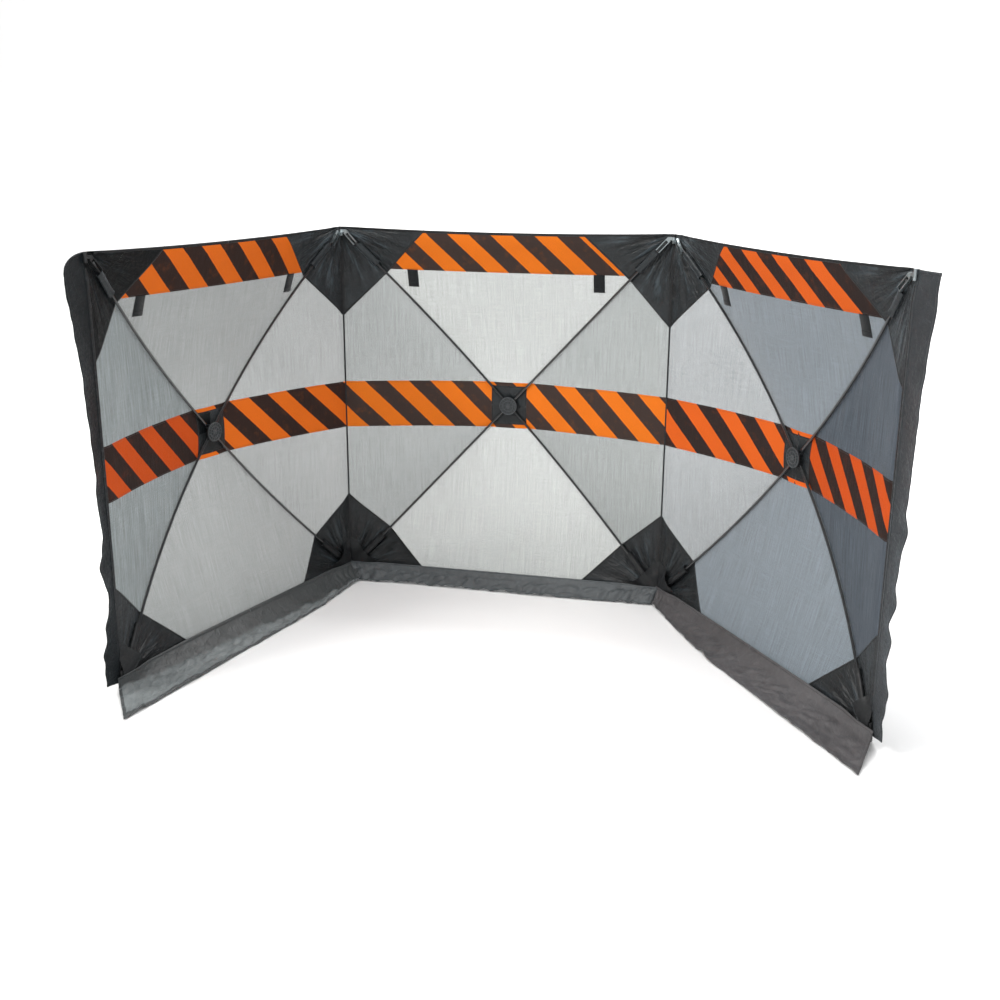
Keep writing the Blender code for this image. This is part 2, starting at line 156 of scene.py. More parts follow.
def lerp_table(table, x):
    """A value from (x, value) pairs, with straight lines between them."""
    if x <= table[0][0]:
        return table[0][1]
    for (x0, y0), (x1, y1) in zip(table, table[1:]):
        if x <= x1:
            return y0 + (y1 - y0) * (x - x0) / (x1 - x0)
    return table[-1][1]


# ---- walls ----
class Wall:
    """A wall's own frame, taken from its joints: x along it from its middle, y outwards, z up."""

    def __init__(self, name, seams):
        self.name = name
        self.seams = seams
        entry = ENTRIES[name]
        hubs, corners = [], []
        for quarter in QUARTERS:
            if quarter == entry:
                hub_joint = JOINTS[f"hub_turn_{name}"]
                corner_joint = JOINTS["collapse" if name == "centre" else f"pole_turn_{name}_{quarter}"]
            else:
                hub_joint = JOINTS[f"pole_fold_{name}_{quarter}"]
                corner_joint = JOINTS[f"bracket_turn_{name}_{quarter}"]
            hubs.append(Vector(hub_joint["pos_m"]))
            corners.append(Vector(corner_joint["pos_m"]))
        middle = sum(corners, Vector()) / 4
        out = (sum(hubs, Vector()) / 4 - middle).normalized()
        along = out.cross(Vector((0, 0, 1)))
        turn = Matrix((along, out, (0, 0, 1))).transposed().to_4x4()
        self.matrix = Matrix.Translation((middle.x, middle.y, 0)) @ turn
        self.along = along

    def to_frame(self, x, y, z):
        return self.matrix @ Vector((x, y, z))


LEFT_TURN = -radians(JOINTS["seam_fold_left"]["range_deg"][0])
RIGHT_TURN = -radians(JOINTS["seam_fold_right"]["range_deg"][0])
WALLS = [
    Wall("left", {1: LEFT_TURN}),
    Wall("centre", {-1: LEFT_TURN, 1: RIGHT_TURN}),
    Wall("right", {-1: RIGHT_TURN}),
]
# each printed band's own repeat length and phase: the middle band's left and right halves, and the top band
STRIPES = {
    "left": ((0.177, 0.20), (0.183, 0.10), (0.1895, 0.00)),
    "centre": ((0.176, 0.60), (0.179, 0.62), (0.1785, 0.53)),
    "right": ((0.191, 0.97), (0.171, 0.735), (0.182, 0.45)),
}


def pole_height(reach):
    s = min(max((reach - HUB_PIVOT_R) / POLE_REACH, 0.0), 1.0)
    return HUB_BULGE * (1 - s) + 4 * POLE_BOW * s * (1 - s)


def patch_share(x, z):
    """How far a place is from a corner, as a share of the way to the patch's long edge."""
    patch_z = PATCH_TOP_Z if z > 0 else PATCH_LOW_Z
    return (HALF_W - abs(x)) / PATCH_X + (HALF_H - abs(z)) / patch_z


def gather(wall, x, z):
    """Height of the pleats that run into a corner."""
    share = patch_share(x, z)
    if share >= 1:
        return 0.0
    dx, dz = HALF_W - abs(x), HALF_H - abs(z)
    reach, angle = hypot(dx, dz), atan2(dz, dx)
    seed = (len(wall.name) * 7.3) + (3.1 if x > 0 else 0) + (5.7 if z > 0 else 0)
    low = z < 0
    fan = angle * (15 if low else 11) + 2.2 * noise_at(angle * 2.6, seed, 0)
    ridge = abs(sin(fan)) ** 0.7 + 0.45 * abs(sin(2.3 * fan + seed))
    ridge += 0.6 * noise_at(angle * 4, reach * 5, seed)
    fade = smooth(reach / 0.05) * smooth(dx / 0.04) * (1 - share) ** 0.7
    high = 0.011 if low else 0.010
    crease = 0.0016 * noise_at(x * 26, z * 26, seed)
    return (high * max(ridge, 0.0) + crease) * fade


def drape(wall, x, z):
    """The cloth's place in the wall's frame, for a point on the flat wall counted from its middle."""
    side, level = (1 if x >= 0 else -1), (1 if z >= 0 else -1)
    u, v = abs(x) / HALF_W, abs(z) / HALF_H
    t = max(u, v, 1e-6)
    off_ridge = 1 - (min(u, v) / t) ** 2
    corner = hypot(HALF_W - abs(x), HALF_H - abs(z))
    edge_lift = smooth(1.35 - corner / 0.085)
    over = CLOTH_OVER_POLE * max(min(1.0, (1 - t) * DIAGONAL / CORNER_PIVOT), edge_lift)
    y = pole_height(t * DIAGONAL) + over - 4 * CLOTH_SAG * t * (1 - t) * off_ridge
    free = smooth(min((1 - t) / 0.12, 1.0)) * smooth(off_ridge * 2)
    y += 0.0022 * free * noise_at(x * 4.5, 0.3, z * 4.5)
    y += gather(wall, x, z)
    if side in wall.seams:
        x += side * CLOTH_OVER_POLE * edge_lift * tan(wall.seams[side] / 2)
    if level > 0:
        z -= TOP_DIP * (1 - u * u) * v ** 6
    return Vector((x, y, MID_H + z))


def draped(wall, x, z, lift=0.0):
    """The same in the shared frame, a little off the cloth."""
    p = drape(wall, x, z)
    return wall.to_frame(p.x, p.y + lift, p.z)


# ---- meshes ----
def new_object(name, data):
    obj = bpy.data.objects.new(name, data)
    bpy.context.scene.collection.objects.link(obj)
    return obj


def mesh_object(name, verts, faces, uvs=None, mats=(), face_mats=None):
    mesh = bpy.data.meshes.new(name)
    mesh.from_pydata([tuple(v) for v in verts], [], faces)
    if uvs is not None:
        layer = mesh.uv_layers.new(name="UVMap")
        for loop in mesh.loops:
            layer.data[loop.index].uv = uvs[loop.vertex_index]
    for mat in mats:
        mesh.materials.append(mat)
    if face_mats is not None:
        mesh.polygons.foreach_set("material_index", face_mats)
    mesh.polygons.foreach_set("use_smooth", [True] * len(mesh.polygons))
    mesh.validate()
    return new_object(name, mesh)


def face_out(obj):
    bm = bmesh.new()
    bm.from_mesh(obj.data)
    bmesh.ops.recalc_face_normals(bm, faces=bm.faces)
    bm.to_mesh(obj.data)
    bm.free()
    return obj


def thicken(obj, thickness, offset=0.0):
    """Give a sheet its thickness, with crisp rims."""
    bm = bmesh.new()
    bm.from_mesh(obj.data)
    for edge in bm.edges:
        edge.smooth = not edge.is_boundary
    bm.to_mesh(obj.data)
    bm.free()
    thick = obj.modifiers.new("thick", "SOLIDIFY")
    thick.thickness = thickness
    thick.offset = offset
    thick.use_even_offset = False
    return obj


class Builder:
    """Collects a piece's vertices and faces from several parts."""

    def __init__(self):
        self.verts, self.faces, self.uvs = [], [], []

    def add(self, verts, faces, uvs=None):
        base = len(self.verts)
        self.verts += verts
        self.faces += [tuple(base + i for i in face) for face in faces]
        self.uvs += uvs or [(0.0, 0.0)] * len(verts)

    def loft(self, rings, capped=True, uvs=None):
        """Skin rings of points; each ring's last point joins its first."""
        count = len(rings[0])
        verts = [p for ring in rings for p in ring]
        faces = []
        for i in range(len(rings) - 1):
            for j in range(count):
                k = (j + 1) % count
                faces.append((i * count + j, i * count + k, (i + 1) * count + k, (i + 1) * count + j))
        if capped:
            faces.append(tuple(reversed(range(count))))
            faces.append(tuple((len(rings) - 1) * count + j for j in range(count)))
        flat_uvs = [uv for row in uvs for uv in row] if uvs else None
        self.add(verts, faces, flat_uvs)

    def make(self, name, mats):
        return face_out(mesh_object(name, self.verts, self.faces, self.uvs, mats))


# ---- one quarter of a wall, cut along its sewn lines ----
def cut_quarter(side, level):
    """A flat quarter as a bmesh in x and z, cut along the edges of its regions."""
    columns, rows = round(HALF_W / CELL), round(HALF_H / CELL)
    bm = bmesh.new()
    grid = []
    for j in range(rows + 1):
        z = level * HALF_H * j / rows
        grid.append([bm.verts.new((side * HALF_W * i / columns, 0, z)) for i in range(columns + 1)])
    for j in range(rows):
        for i in range(columns):
            bm.faces.new((grid[j][i], grid[j][i + 1], grid[j + 1][i + 1], grid[j + 1][i]))
    patch_z = PATCH_TOP_Z if level > 0 else PATCH_LOW_Z
    lines = [
        ((0, 0), (side * HALF_H, -level * HALF_W)),
        ((0, level * BAND_HALF), (0, 1)),
        ((0, level * HUB_PATCH_Z), (0, 1)),
        ((side * HUB_PATCH_X, 0), (1, 0)),
        ((side * (HALF_W - PATCH_X), level * HALF_H), (side * patch_z, level * PATCH_X)),
    ]
    if level > 0:
        lines += [((0, HALF_H - TOP_BAND), (0, 1)), ((0, HALF_H - TOP_HEM), (0, 1))]
    for (x, z), (nx, nz) in lines:
        geom = bm.verts[:] + bm.edges[:] + bm.faces[:]
        bmesh.ops.bisect_plane(
            bm, geom=geom, dist=0.00002, plane_co=(x, 0, z), plane_no=Vector((nx, 0, nz)).normalized()
        )
    bmesh.ops.remove_doubles(bm, verts=bm.verts, dist=0.0005)
    return bm


def region_of(x, z, level):
    if patch_share(x, z) < 1:
        return "patch"
    if abs(x) < HUB_PATCH_X and abs(z) < HUB_PATCH_Z:
        return "hub_patch"
    if level > 0 and z > HALF_H - TOP_HEM:
        return "patch"
    if abs(z) < BAND_HALF or (level > 0 and z > HALF_H - TOP_BAND):
        return "band"
    return "net"


def region_piece(bm, wall, level, regions, name, mats, fine=0):
    """The faces of some regions as a draped mesh, with its uv map in metres on the flat wall.

    Three materials are for the top and bottom sectors, the inner side sectors and the outer side sector; they
    are lit and shaded copies of one net or band, so their colours are painted light and shade.
    """
    part = bm.copy()
    gone = []
    for face in part.faces:
        c = face.calc_center_median()
        if region_of(c.x, c.z, level) not in regions:
            gone.append(face)
    bmesh.ops.delete(part, geom=gone, context="FACES")
    if fine:
        bmesh.ops.subdivide_edges(part, edges=part.edges[:], cuts=fine, use_grid_fill=True)
    area = sum(face.calc_area() for face in part.faces)
    part.verts.ensure_lookup_table()
    part.verts.index_update()
    flat = [(v.co.x, v.co.z) for v in part.verts]
    faces = [tuple(v.index for v in face.verts) for face in part.faces]
    sectors = []
    for face in part.faces:
        c = face.calc_center_median()
        outer = (wall.name == "left" and c.x < 0) or (wall.name == "right" and c.x > 0)
        sectors.append((2 if outer else 1) if abs(c.x) / HALF_W > abs(c.z) / HALF_H else 0)
    part.free()
    verts = [draped(wall, x, z) for x, z in flat]
    uvs = flat
    if "band" in regions:
        side = 1 if flat[0][0] + flat[-1][0] > 0 else -1
        uvs = []
        for x, z in flat:
            top = z > HALF_H - TOP_BAND - 0.001
            pitch, phase = STRIPES[wall.name][2 if top else (side + 1) // 2]
            uvs.append(((x / pitch + phase) * STRIPE_PITCH, z))
    obj = mesh_object(name, verts, faces, uvs, mats, sectors if len(mats) > 1 else None)
    return face_out(obj), area


def ribbon(builder, wall, path, width, thick, push=0.0):
    """A flat band sewn along a line of flat (x, z) points, showing on both faces of the cloth."""
    rings = []
    uvs = []
    long = 0.0
    for i, (x, z) in enumerate(path):
        ax, az = path[max(i - 1, 0)]
        bx, bz = path[min(i + 1, len(path) - 1)]
        d = hypot(bx - ax, bz - az)
        nx, nz = -(bz - az) / d, (bx - ax) / d
        if i:
            long += hypot(x - path[i - 1][0], z - path[i - 1][1])
        half, soft = width / 2, width / 2 - min(0.0008, width / 6)
        outline = ((-half, 0), (-soft, 1), (soft, 1), (half, 0), (soft, -1), (-soft, -1))
        rings.append([draped(wall, x + nx * w, z + nz * w, push + h * thick / 2) for w, h in outline])
        uvs.append([(long, w) for w in (0, 0.2 * width, 0.8 * width, width, 0.8 * width, 0.2 * width)])
    builder.loft(rings, uvs=uvs)


def steps(a, b, size=0.012):
    """Flat points on a straight line, close enough together to follow the cloth."""
    count = max(2, round(hypot(b[0] - a[0], b[1] - a[1]) / size))
    return [(a[0] + (b[0] - a[0]) * i / count, a[1] + (b[1] - a[1]) * i / count) for i in range(count + 1)]


def stitches(builder, wall, a, b, pitch=0.0065, length=0.0042, wide=0.0006, out=0.0013):
    """A row of thread stitches from a to b, through both faces."""
    whole = hypot(b[0] - a[0], b[1] - a[1])
    count = int(whole / pitch)
    ux, uz = (b[0] - a[0]) / whole, (b[1] - a[1]) / whole
    for i in range(count):
        s = (i + 0.5) * whole / count
        cx, cz = a[0] + ux * s, a[1] + uz * s
        corners = []
        for h in (-1, 1):
            for l, w in ((-1, 0), (-0.6, 1), (0.6, 1), (1, 0), (0.6, -1), (-0.6, -1)):
                x = cx + ux * l * length / 2 - uz * w * wide / 2
                z = cz + uz * l * length / 2 + ux * w * wide / 2
                corners.append(draped(wall, x, z, h * out))
        builder.loft([corners[:6], corners[6:]])


# ---- materials ----
class Paint:
    """A procedural material: short calls for the nodes that it is made of."""

    def __init__(self, name, coords="UV", **settings):
        self.mat = bpy.data.materials.new(name)
        self.mat.use_nodes = True
        self.tree = self.mat.node_tree
        self.shader = self.tree.nodes["Principled BSDF"]
        for key, value in settings.items():
            self.shader.inputs[key.replace("_", " ")].default_value = value
        self.at = self.add("ShaderNodeTexCoord").outputs[coords]

    def add(self, kind, **settings):
        node = self.tree.nodes.new(kind)
        for key, value in settings.items():
            setattr(node, key, value)
        return node

    def put(self, socket, value):
        if isinstance(value, bpy.types.NodeSocket):
            self.tree.links.new(value, socket)
        else:
            socket.default_value = value

    def math(self, operation, a, b=0.0):
        node = self.add("ShaderNodeMath", operation=operation)
        self.put(node.inputs[0], a)
        self.put(node.inputs[1], b)
        return node.outputs[0]

    def times(self, a, b):
        return self.math("MULTIPLY", a, b)

    def plus(self, a, b):
        return self.math("ADD", a, b)

    def minus(self, a, b):
        return self.math("SUBTRACT", a, b)

    def scaled(self, x, y, z=1.0):
        node = self.add("ShaderNodeMapping")
        self.put(node.inputs["Vector"], self.at)
        node.inputs["Scale"].default_value = (x, y, z)
        return node.outputs[0]

    def axes(self):
        node = self.add("ShaderNodeSeparateXYZ")
        self.put(node.inputs[0], self.at)
        return node.outputs[0], node.outputs[1], node.outputs[2]

    def spread(self, x, y, z):
        node = self.add("ShaderNodeCombineXYZ")
        for socket, value in zip(node.inputs, (x, y, z)):
            self.put(socket, value)
        return node.outputs[0]

    def noise(self, scale, detail=2.0, rough=0.5, at=None):
        node = self.add("ShaderNodeTexNoise")
        self.put(node.inputs["Vector"], at or self.at)
        node.inputs["Scale"].default_value = scale
        node.inputs["Detail"].default_value = detail
        node.inputs["Roughness"].default_value = rough
        return node.outputs["Fac"]

    def remap(self, value, low, high, to_low=0.0, to_high=1.0):
        node = self.add("ShaderNodeMapRange", interpolation_type="SMOOTHSTEP")
        for socket, given in zip(node.inputs, (value, low, high, to_low, to_high)):
            self.put(socket, given)
        return node.outputs[0]

    def mix(self, share, a, b):
        node = self.add("ShaderNodeMix", data_type="RGBA")
        self.put(node.inputs[0], share)
        self.put(node.inputs[6], a if isinstance(a, bpy.types.NodeSocket) else (*a, 1.0))
        self.put(node.inputs[7], b if isinstance(b, bpy.types.NodeSocket) else (*b, 1.0))
        return node.outputs[2]

    def over(self, under, mask, share, colour):
        """Lay a colour over another where the mask says, at a share of its strength."""
        return self.mix(self.times(mask, share), under, colour)

    def about(self, value, span):
        """A noise counted from its middle, over a span."""
        return self.times(self.minus(value, 0.5), span)

    def yarns(self, value, pitch):
        """1 on a yarn's middle and 0 between yarns."""
        wave = self.math("SINE", self.times(value, pi / pitch))
        return self.times(wave, wave)

    def bump(self, *layers):
        """Layers of (height, strength, distance), one over the other."""
        normal = None
        for height, strength, distance in layers:
            node = self.add("ShaderNodeBump")
            node.inputs["Strength"].default_value = strength
            node.inputs["Distance"].default_value = distance
            self.put(node.inputs["Height"], height)
            if normal:
                self.put(node.inputs["Normal"], normal)
            normal = node.outputs[0]
        self.put(self.shader.inputs["Normal"], normal)

    def set(self, **sockets):
        for key, value in sockets.items():
            self.put(self.shader.inputs[key.replace("_", " ")], value)
        return self.mat


def shade(colour, share):
    return tuple(c * share for c in colour)


def net_paint(name, colour, cover, streaks_and_shade, pitch=0.0017):
    """See-through woven mesh: yarns of a set width, thicker and thinner in streaks, with darker long streaks
    that are partly the yarns' own and partly painted shade.
    """
    p = Paint(name, Roughness=0.80, Specular_IOR_Level=0.15, Sheen_Weight=0.10)
    u, v, _ = p.axes()
    wander = p.about(p.noise(190, 2.0), 1.6 * pitch)
    warp, weft = p.yarns(p.plus(u, wander), pitch), p.yarns(p.minus(v, wander), pitch)
    cloth = p.math("MAXIMUM", warp, weft)
    hole = sqrt(1 - cover)
    edge = sin(pi * hole / 2) ** 2
    slub = p.noise(1.0, 4.0, 0.65, p.scaled(230, 7))
    slub_2 = p.noise(1.0, 3.0, 0.6, p.scaled(11, 190))
    long = p.noise(1.0, 2.0, 0.5, p.scaled(85, 2.2))
    cloud = p.noise(3.2, 3.0, 0.5)
    drift = edge
    for layer, share in ((slub, streaks_and_shade), (long, 1.2 * streaks_and_shade), (slub_2, 0.30), (cloud, 0.16)):
        drift = p.plus(drift, p.about(layer, -share))
    alpha = p.remap(p.minus(cloth, drift), -0.34, 0.34, 0.5 * cover, 0.5 * cover + 0.5)
    contrast = 0.16 + 0.45 * streaks_and_shade
    tone = p.mix(p.remap(slub, 0.3, 0.7), shade(colour, 1 - contrast), shade(colour, 1 + contrast))
    tone = p.over(tone, p.remap(slub_2, 0.45, 0.75), 0.35, shade(colour, 1.45))
    # darker long streaks: partly the yarns' own, partly painted shade; they are strongest on the outer
    # sectors
    tone = p.over(tone, p.remap(long, 0.45, 0.75), 0.8 * streaks_and_shade, shade(colour, 0.45))
    tone = p.over(tone, warp, 0.30, shade(colour, 1.35))
    return p.set(Base_Color=tone, Alpha=alpha)


def band_paint(name, orange, dark):
    """Woven band printed with slanted stripes."""
    p = Paint(name, Roughness=0.62, Specular_IOR_Level=0.16)
    u, v, _ = p.axes()
    warp, weft = p.yarns(u, 0.0016), p.yarns(v, 0.0016)
    weave = p.math("MAXIMUM", warp, weft)
    wander = p.about(p.noise(60, 3.0), 0.004)
    across = p.plus(p.plus(u, v), wander)
    place = p.math("FRACT", p.math("DIVIDE", across, STRIPE_PITCH))
    stripe = p.remap(p.math("ABSOLUTE", p.minus(place, 0.5)), 0.243, 0.257)
    cloud = p.noise(7.0, 3.0)
    slub = p.noise(1.0, 3.0, 0.6, p.scaled(180, 14))
    bright = p.mix(cloud, shade(orange, 0.90), shade(orange, 1.08))
    bright = p.over(bright, slub, 0.25, (orange[0], orange[1] * 1.5, orange[2] * 2.2))
    rubbed = p.remap(p.noise(22, 4.0, 0.65), 0.52, 0.78)
    deep = p.over(dark, rubbed, 0.30, (orange[0] * 0.30, orange[1] * 0.42, orange[2] * 0.9))
    tone = p.mix(stripe, bright, deep)
    tone = p.over(tone, p.remap(weave, 0.25, 0.02), 0.45, shade(dark, 0.6))
    p.bump((weave, 0.55, 0.0004), (p.noise(34, 3.0), 0.25, 0.002))
    rough = p.remap(slub, 0.2, 0.8, 0.54, 0.74)
    return p.set(Base_Color=tone, Roughness=rough)


def nylon_paint(
    name, colour, sheen=0.30, crumple=0.45, rough=0.42, fan=0.0, fold=None, gloss=0.5
):
    """Coated plain-weave nylon, crumpled, with worn, lighter creases and painted shade in the crumple's
    hollows.

    fan: strength of the creases that run into a wall's corners, with painted shade in their hollows and
    painted highlight on their ridges. fold: where along v a darker part ends; that darker part is painted
    shade.
    """
    p = Paint(name, Specular_IOR_Level=gloss, Sheen_Weight=sheen, Sheen_Roughness=0.40)
    p.shader.inputs["Sheen Tint"].default_value = (0.80, 0.88, 0.95, 1.0)
    u, v, _ = p.axes()
    weave = p.math("MAXIMUM", p.yarns(u, 0.0009), p.yarns(v, 0.0009))
    crease = p.noise(14, 4.0, 0.62)
    fine = p.noise(75, 3.0, 0.6)
    cloud = p.noise(4.0, 3.0)
    edges = p.add("ShaderNodeTexVoronoi", feature="DISTANCE_TO_EDGE")
    warped = p.add("ShaderNodeVectorMath", operation="ADD")
    p.put(warped.inputs[0], p.at)
    wobble = p.spread(p.times(crease, 0.10), p.times(fine, 0.02), 0.0)
    p.put(warped.inputs[1], wobble)
    p.put(edges.inputs["Vector"], warped.outputs[0])
    edges.inputs["Scale"].default_value = 17.0
    line = p.remap(edges.outputs["Distance"], 0.10, 0.0)
    tone = p.mix(cloud, shade(colour, 0.72), shade(colour, 1.22))
    tone = p.over(tone, p.remap(p.noise(9, 6.0, 0.72), 0.54, 0.80), 0.45, shade(colour, 1.9))
    tone = p.over(tone, line, 0.13, shade(colour, 2.0))
    # painted shade: darker where the crumple's bump is low, in its hollows
    tone = p.over(tone, p.remap(crease, 0.48, 0.36), 0.45, shade(colour, 0.45))
    layers = [(weave, 0.30, 0.0002), (fine, crumple * 0.5, 0.0018)]
    layers += [(line, crumple * 0.35, 0.004), (crease, crumple, 0.014)]
    if fan:
        du = p.minus(HALF_W, p.math("ABSOLUTE", u))
        dv = p.minus(HALF_H, p.math("ABSOLUTE", v))
        angle = p.math("ARCTAN2", dv, du)
        reach = p.math("SQRT", p.plus(p.times(du, du), p.times(dv, dv)))
        scaled = [p.times(value, by) for value, by in ((angle, 6.0), (reach, 6.0), (u, 1.7))]
        place = p.spread(*scaled)
        pleat = p.noise(1.0, 3.0, 0.62, place)
        near = p.times(p.remap(reach, 0.38, 0.08), fan)
        # painted shade in the corner pleats' hollows and painted highlight on their ridges
        deep = p.times(p.remap(pleat, 0.53, 0.38), near)
        high = p.times(p.remap(pleat, 0.53, 0.66), near)
        tone = p.over(tone, deep, 0.92, shade(colour, 0.12))
        tone = p.over(tone, high, 0.90, shade(colour, 5.0))
        edge = p.math("MAXIMUM", p.remap(du, 0.011, 0.007), p.remap(du, 0.028, 0.006, 0.0, 0.5))
        tone = p.over(tone, edge, 0.8, shade(colour, 0.1))
        layers.append((p.times(pleat, near), 0.8, 0.030))
    # painted shade: the sheet is darker up to the fold's place, on the part that stands against the wall
    if fold:
        low, share = fold
        across = p.plus(v, p.about(crease, 0.02))
        tone = p.mix(p.remap(across, low + 0.014, low - 0.014), tone, shade(colour, share))
    tone = p.over(tone, p.remap(weave, 0.3, 0.0), 0.35, shade(colour, 0.4))
    p.bump(*layers)
    return p.set(Base_Color=tone, Roughness=p.remap(fine, 0.3, 0.7, rough - 0.07, rough + 0.10))


def webbing_paint(name, colour):
    """Ribbed webbing."""
    p = Paint(name, Specular_IOR_Level=0.35, Sheen_Weight=0.25, Sheen_Roughness=0.4)
    u, v, _ = p.axes()
    rib = p.yarns(v, 0.0016)
    pick = p.yarns(p.plus(u, p.times(v, 0.5)), 0.0011)
    weave = p.times(p.plus(rib, pick), 0.5)
    fuzz = p.noise(420, 2.0)
    tone = p.mix(weave, shade(colour, 0.55), shade(colour, 1.4))
    tone = p.over(tone, p.remap(fuzz, 0.55, 0.8), 0.5, shade(colour, 2.4))
    p.bump((weave, 0.8, 0.0006), (fuzz, 0.2, 0.0004))
    return p.set(Base_Color=tone, Roughness=p.remap(fuzz, 0.3, 0.7, 0.6, 0.85))


def thread_paint(name, colour):
    """Twisted sewing thread."""
    p = Paint(name, Specular_IOR_Level=0.4, Sheen_Weight=0.3)
    u, v, _ = p.axes()
    twist = p.yarns(p.plus(u, p.times(v, 2.0)), 0.0008)
    p.bump((twist, 0.6, 0.0003))
    tone = p.mix(twist, shade(colour, 0.7), shade(colour, 1.2))
    return p.set(Base_Color=tone, Roughness=p.remap(p.noise(300), 0.3, 0.7, 0.5, 0.7))


def plastic_paint(name, colour, grain=900.0, rough=0.48):
    """Moulded plastic with a fine spark texture, scuffs and dust."""
    p = Paint(name, "Object", Specular_IOR_Level=0.5)
    spark = p.noise(grain, 2.0, 0.6)
    scuff = p.remap(p.noise(46, 6.0, 0.72), 0.57, 0.72)
    dust = p.remap(p.noise(12, 4.0, 0.6), 0.45, 0.75)
    tone = p.over(colour, scuff, 0.45, shade(colour, 2.6))
    tone = p.over(tone, dust, 0.22, (0.16, 0.16, 0.15))
    p.bump((spark, 0.25, 0.0002), (scuff, 0.15, 0.0002))
    return p.set(Base_Color=tone, Roughness=p.remap(scuff, 0.0, 1.0, rough, rough + 0.18))


def fibreglass_paint(name, colour):
    """Pultruded rod: glassy skin, fibres just under it, handling marks."""
    p = Paint(name, "Object", Specular_IOR_Level=0.55, Coat_Weight=1.0, Coat_Roughness=0.10)
    fibre = p.noise(1300, 2.0, 0.7)
    fleck = p.remap(p.noise(240, 5.0, 0.75), 0.56, 0.75)
    marks = p.remap(p.noise(24, 6.0, 0.7), 0.55, 0.78)
    tone = p.over(colour, fleck, 0.35, shade(colour, 3.0))
    tone = p.over(tone, marks, 0.30, (0.10, 0.105, 0.11))
    p.bump((fibre, 0.20, 0.0002), (fleck, 0.15, 0.0002))
    return p.set(Base_Color=tone, Roughness=p.remap(marks, 0.0, 1.0, 0.30, 0.52))


def steel_paint(name, colour):
    """Brushed steel with scratches and dull patches."""
    p = Paint(name, "Object", Metallic=1.0)
    brush = p.noise(1.0, 3.0, 0.7, p.scaled(900, 900, 90))
    patch = p.remap(p.noise(60, 5.0, 0.7), 0.42, 0.72)
    tone = p.mix(brush, shade(colour, 0.80), shade(colour, 1.10))
    tone = p.over(tone, patch, 0.45, shade(colour, 0.45))
    p.bump((brush, 0.30, 0.0002), (patch, 0.12, 0.0003))
    rough = p.plus(p.remap(patch, 0.0, 1.0, 0.24, 0.48), p.times(brush, 0.10))
    return p.set(Base_Color=tone, Roughness=rough)


def enamel_paint(name, colour):
    """Painted metal, with an orange-peel skin and chips down to grey."""
    p = Paint(name, "Object", Specular_IOR_Level=0.5)
    peel = p.noise(500, 2.0)
    chip = p.remap(p.noise(170, 6.0, 0.75), 0.66, 0.70)
    tone = p.over(colour, chip, 0.8, (0.30, 0.30, 0.29))
    p.bump((peel, 0.18, 0.0003), (p.minus(1.0, chip), 0.3, 0.0002))
    return p.set(Base_Color=tone, Roughness=p.remap(peel, 0.3, 0.7, 0.34, 0.50))


CHARCOAL = (0.0135, 0.0185, 0.0215)
# for each wall: its top and bottom sectors, its inner side sectors, and its outer side sector, as lit and
# shaded copies of one grey net: their colours and covers are painted light and shade
NETS = {
    "left": (
        net_paint("net_left", (0.27, 0.29, 0.285), 0.68, 0.12),
        net_paint("net_left_inner", (0.235, 0.255, 0.25), 0.65, 0.12),
        net_paint("net_left_outer", (0.23, 0.265, 0.27), 0.78, 0.50),
    ),
    "centre": (
        net_paint("net_centre", (0.375, 0.40, 0.385), 0.645, 0.08),
        net_paint("net_centre_side", (0.235, 0.262, 0.256), 0.71, 0.10),
        net_paint("net_centre_edge", (0.235, 0.262, 0.256), 0.71, 0.10),
    ),
    "right": (
        net_paint("net_right", (0.185, 0.22, 0.25), 0.79, 0.12),
        net_paint("net_right_inner", (0.21, 0.235, 0.245), 0.65, 0.10),
        net_paint("net_right_outer", (0.062, 0.078, 0.098), 0.93, 0.55),
    ),
}
# one printed band in lit and shaded copies: the centre's is the most lit and the outer sectors' the most
# shaded, so these oranges and darks are painted light and shade
BAND_OUTER_SHADED = band_paint("hazard_band_outer", (0.62, 0.078, 0.008), (0.028, 0.016, 0.0135))
BAND_CENTRE = band_paint("hazard_band_centre", (0.86, 0.182, 0.010), (0.052, 0.034, 0.029))
BAND_LEFT = band_paint("hazard_band_left", (0.84, 0.155, 0.010), (0.034, 0.018, 0.0145))
BAND_RIGHT = band_paint("hazard_band_right", (0.76, 0.118, 0.012), (0.030, 0.019, 0.017))
BANDS = {
    "left": (BAND_LEFT, BAND_LEFT, BAND_OUTER_SHADED),
    "centre": (BAND_CENTRE, BAND_CENTRE, BAND_CENTRE),
    "right": (BAND_RIGHT, BAND_RIGHT, BAND_OUTER_SHADED),
}
NYLON = nylon_paint("charcoal_nylon", CHARCOAL)
# one patch nylon in lit and shaded copies: the lower patches and the left wall's outer top patch are painted
# darker as shade
PATCH_NYLONS = {
    "top": nylon_paint("patch_nylon_top", shade(CHARCOAL, 0.85), 0.20, fan=1.0),
    "low": nylon_paint("patch_nylon_low", shade(CHARCOAL, 0.50), 0.10, fan=1.0),
    "left": nylon_paint("patch_nylon_left", shade(CHARCOAL, 0.30), 0.02, fan=1.0, gloss=0.22),
}
# one flap nylon in a shaded and a lit copy: the left flaps, turned from the light, are painted nearly black
FLAP_NYLONS = {
    "left": nylon_paint("flap_nylon_left", (0.006, 0.009, 0.011), 0.04, gloss=0.25),
    "right": nylon_paint("flap_nylon_right", (0.026, 0.030, 0.034), 0.15),
}
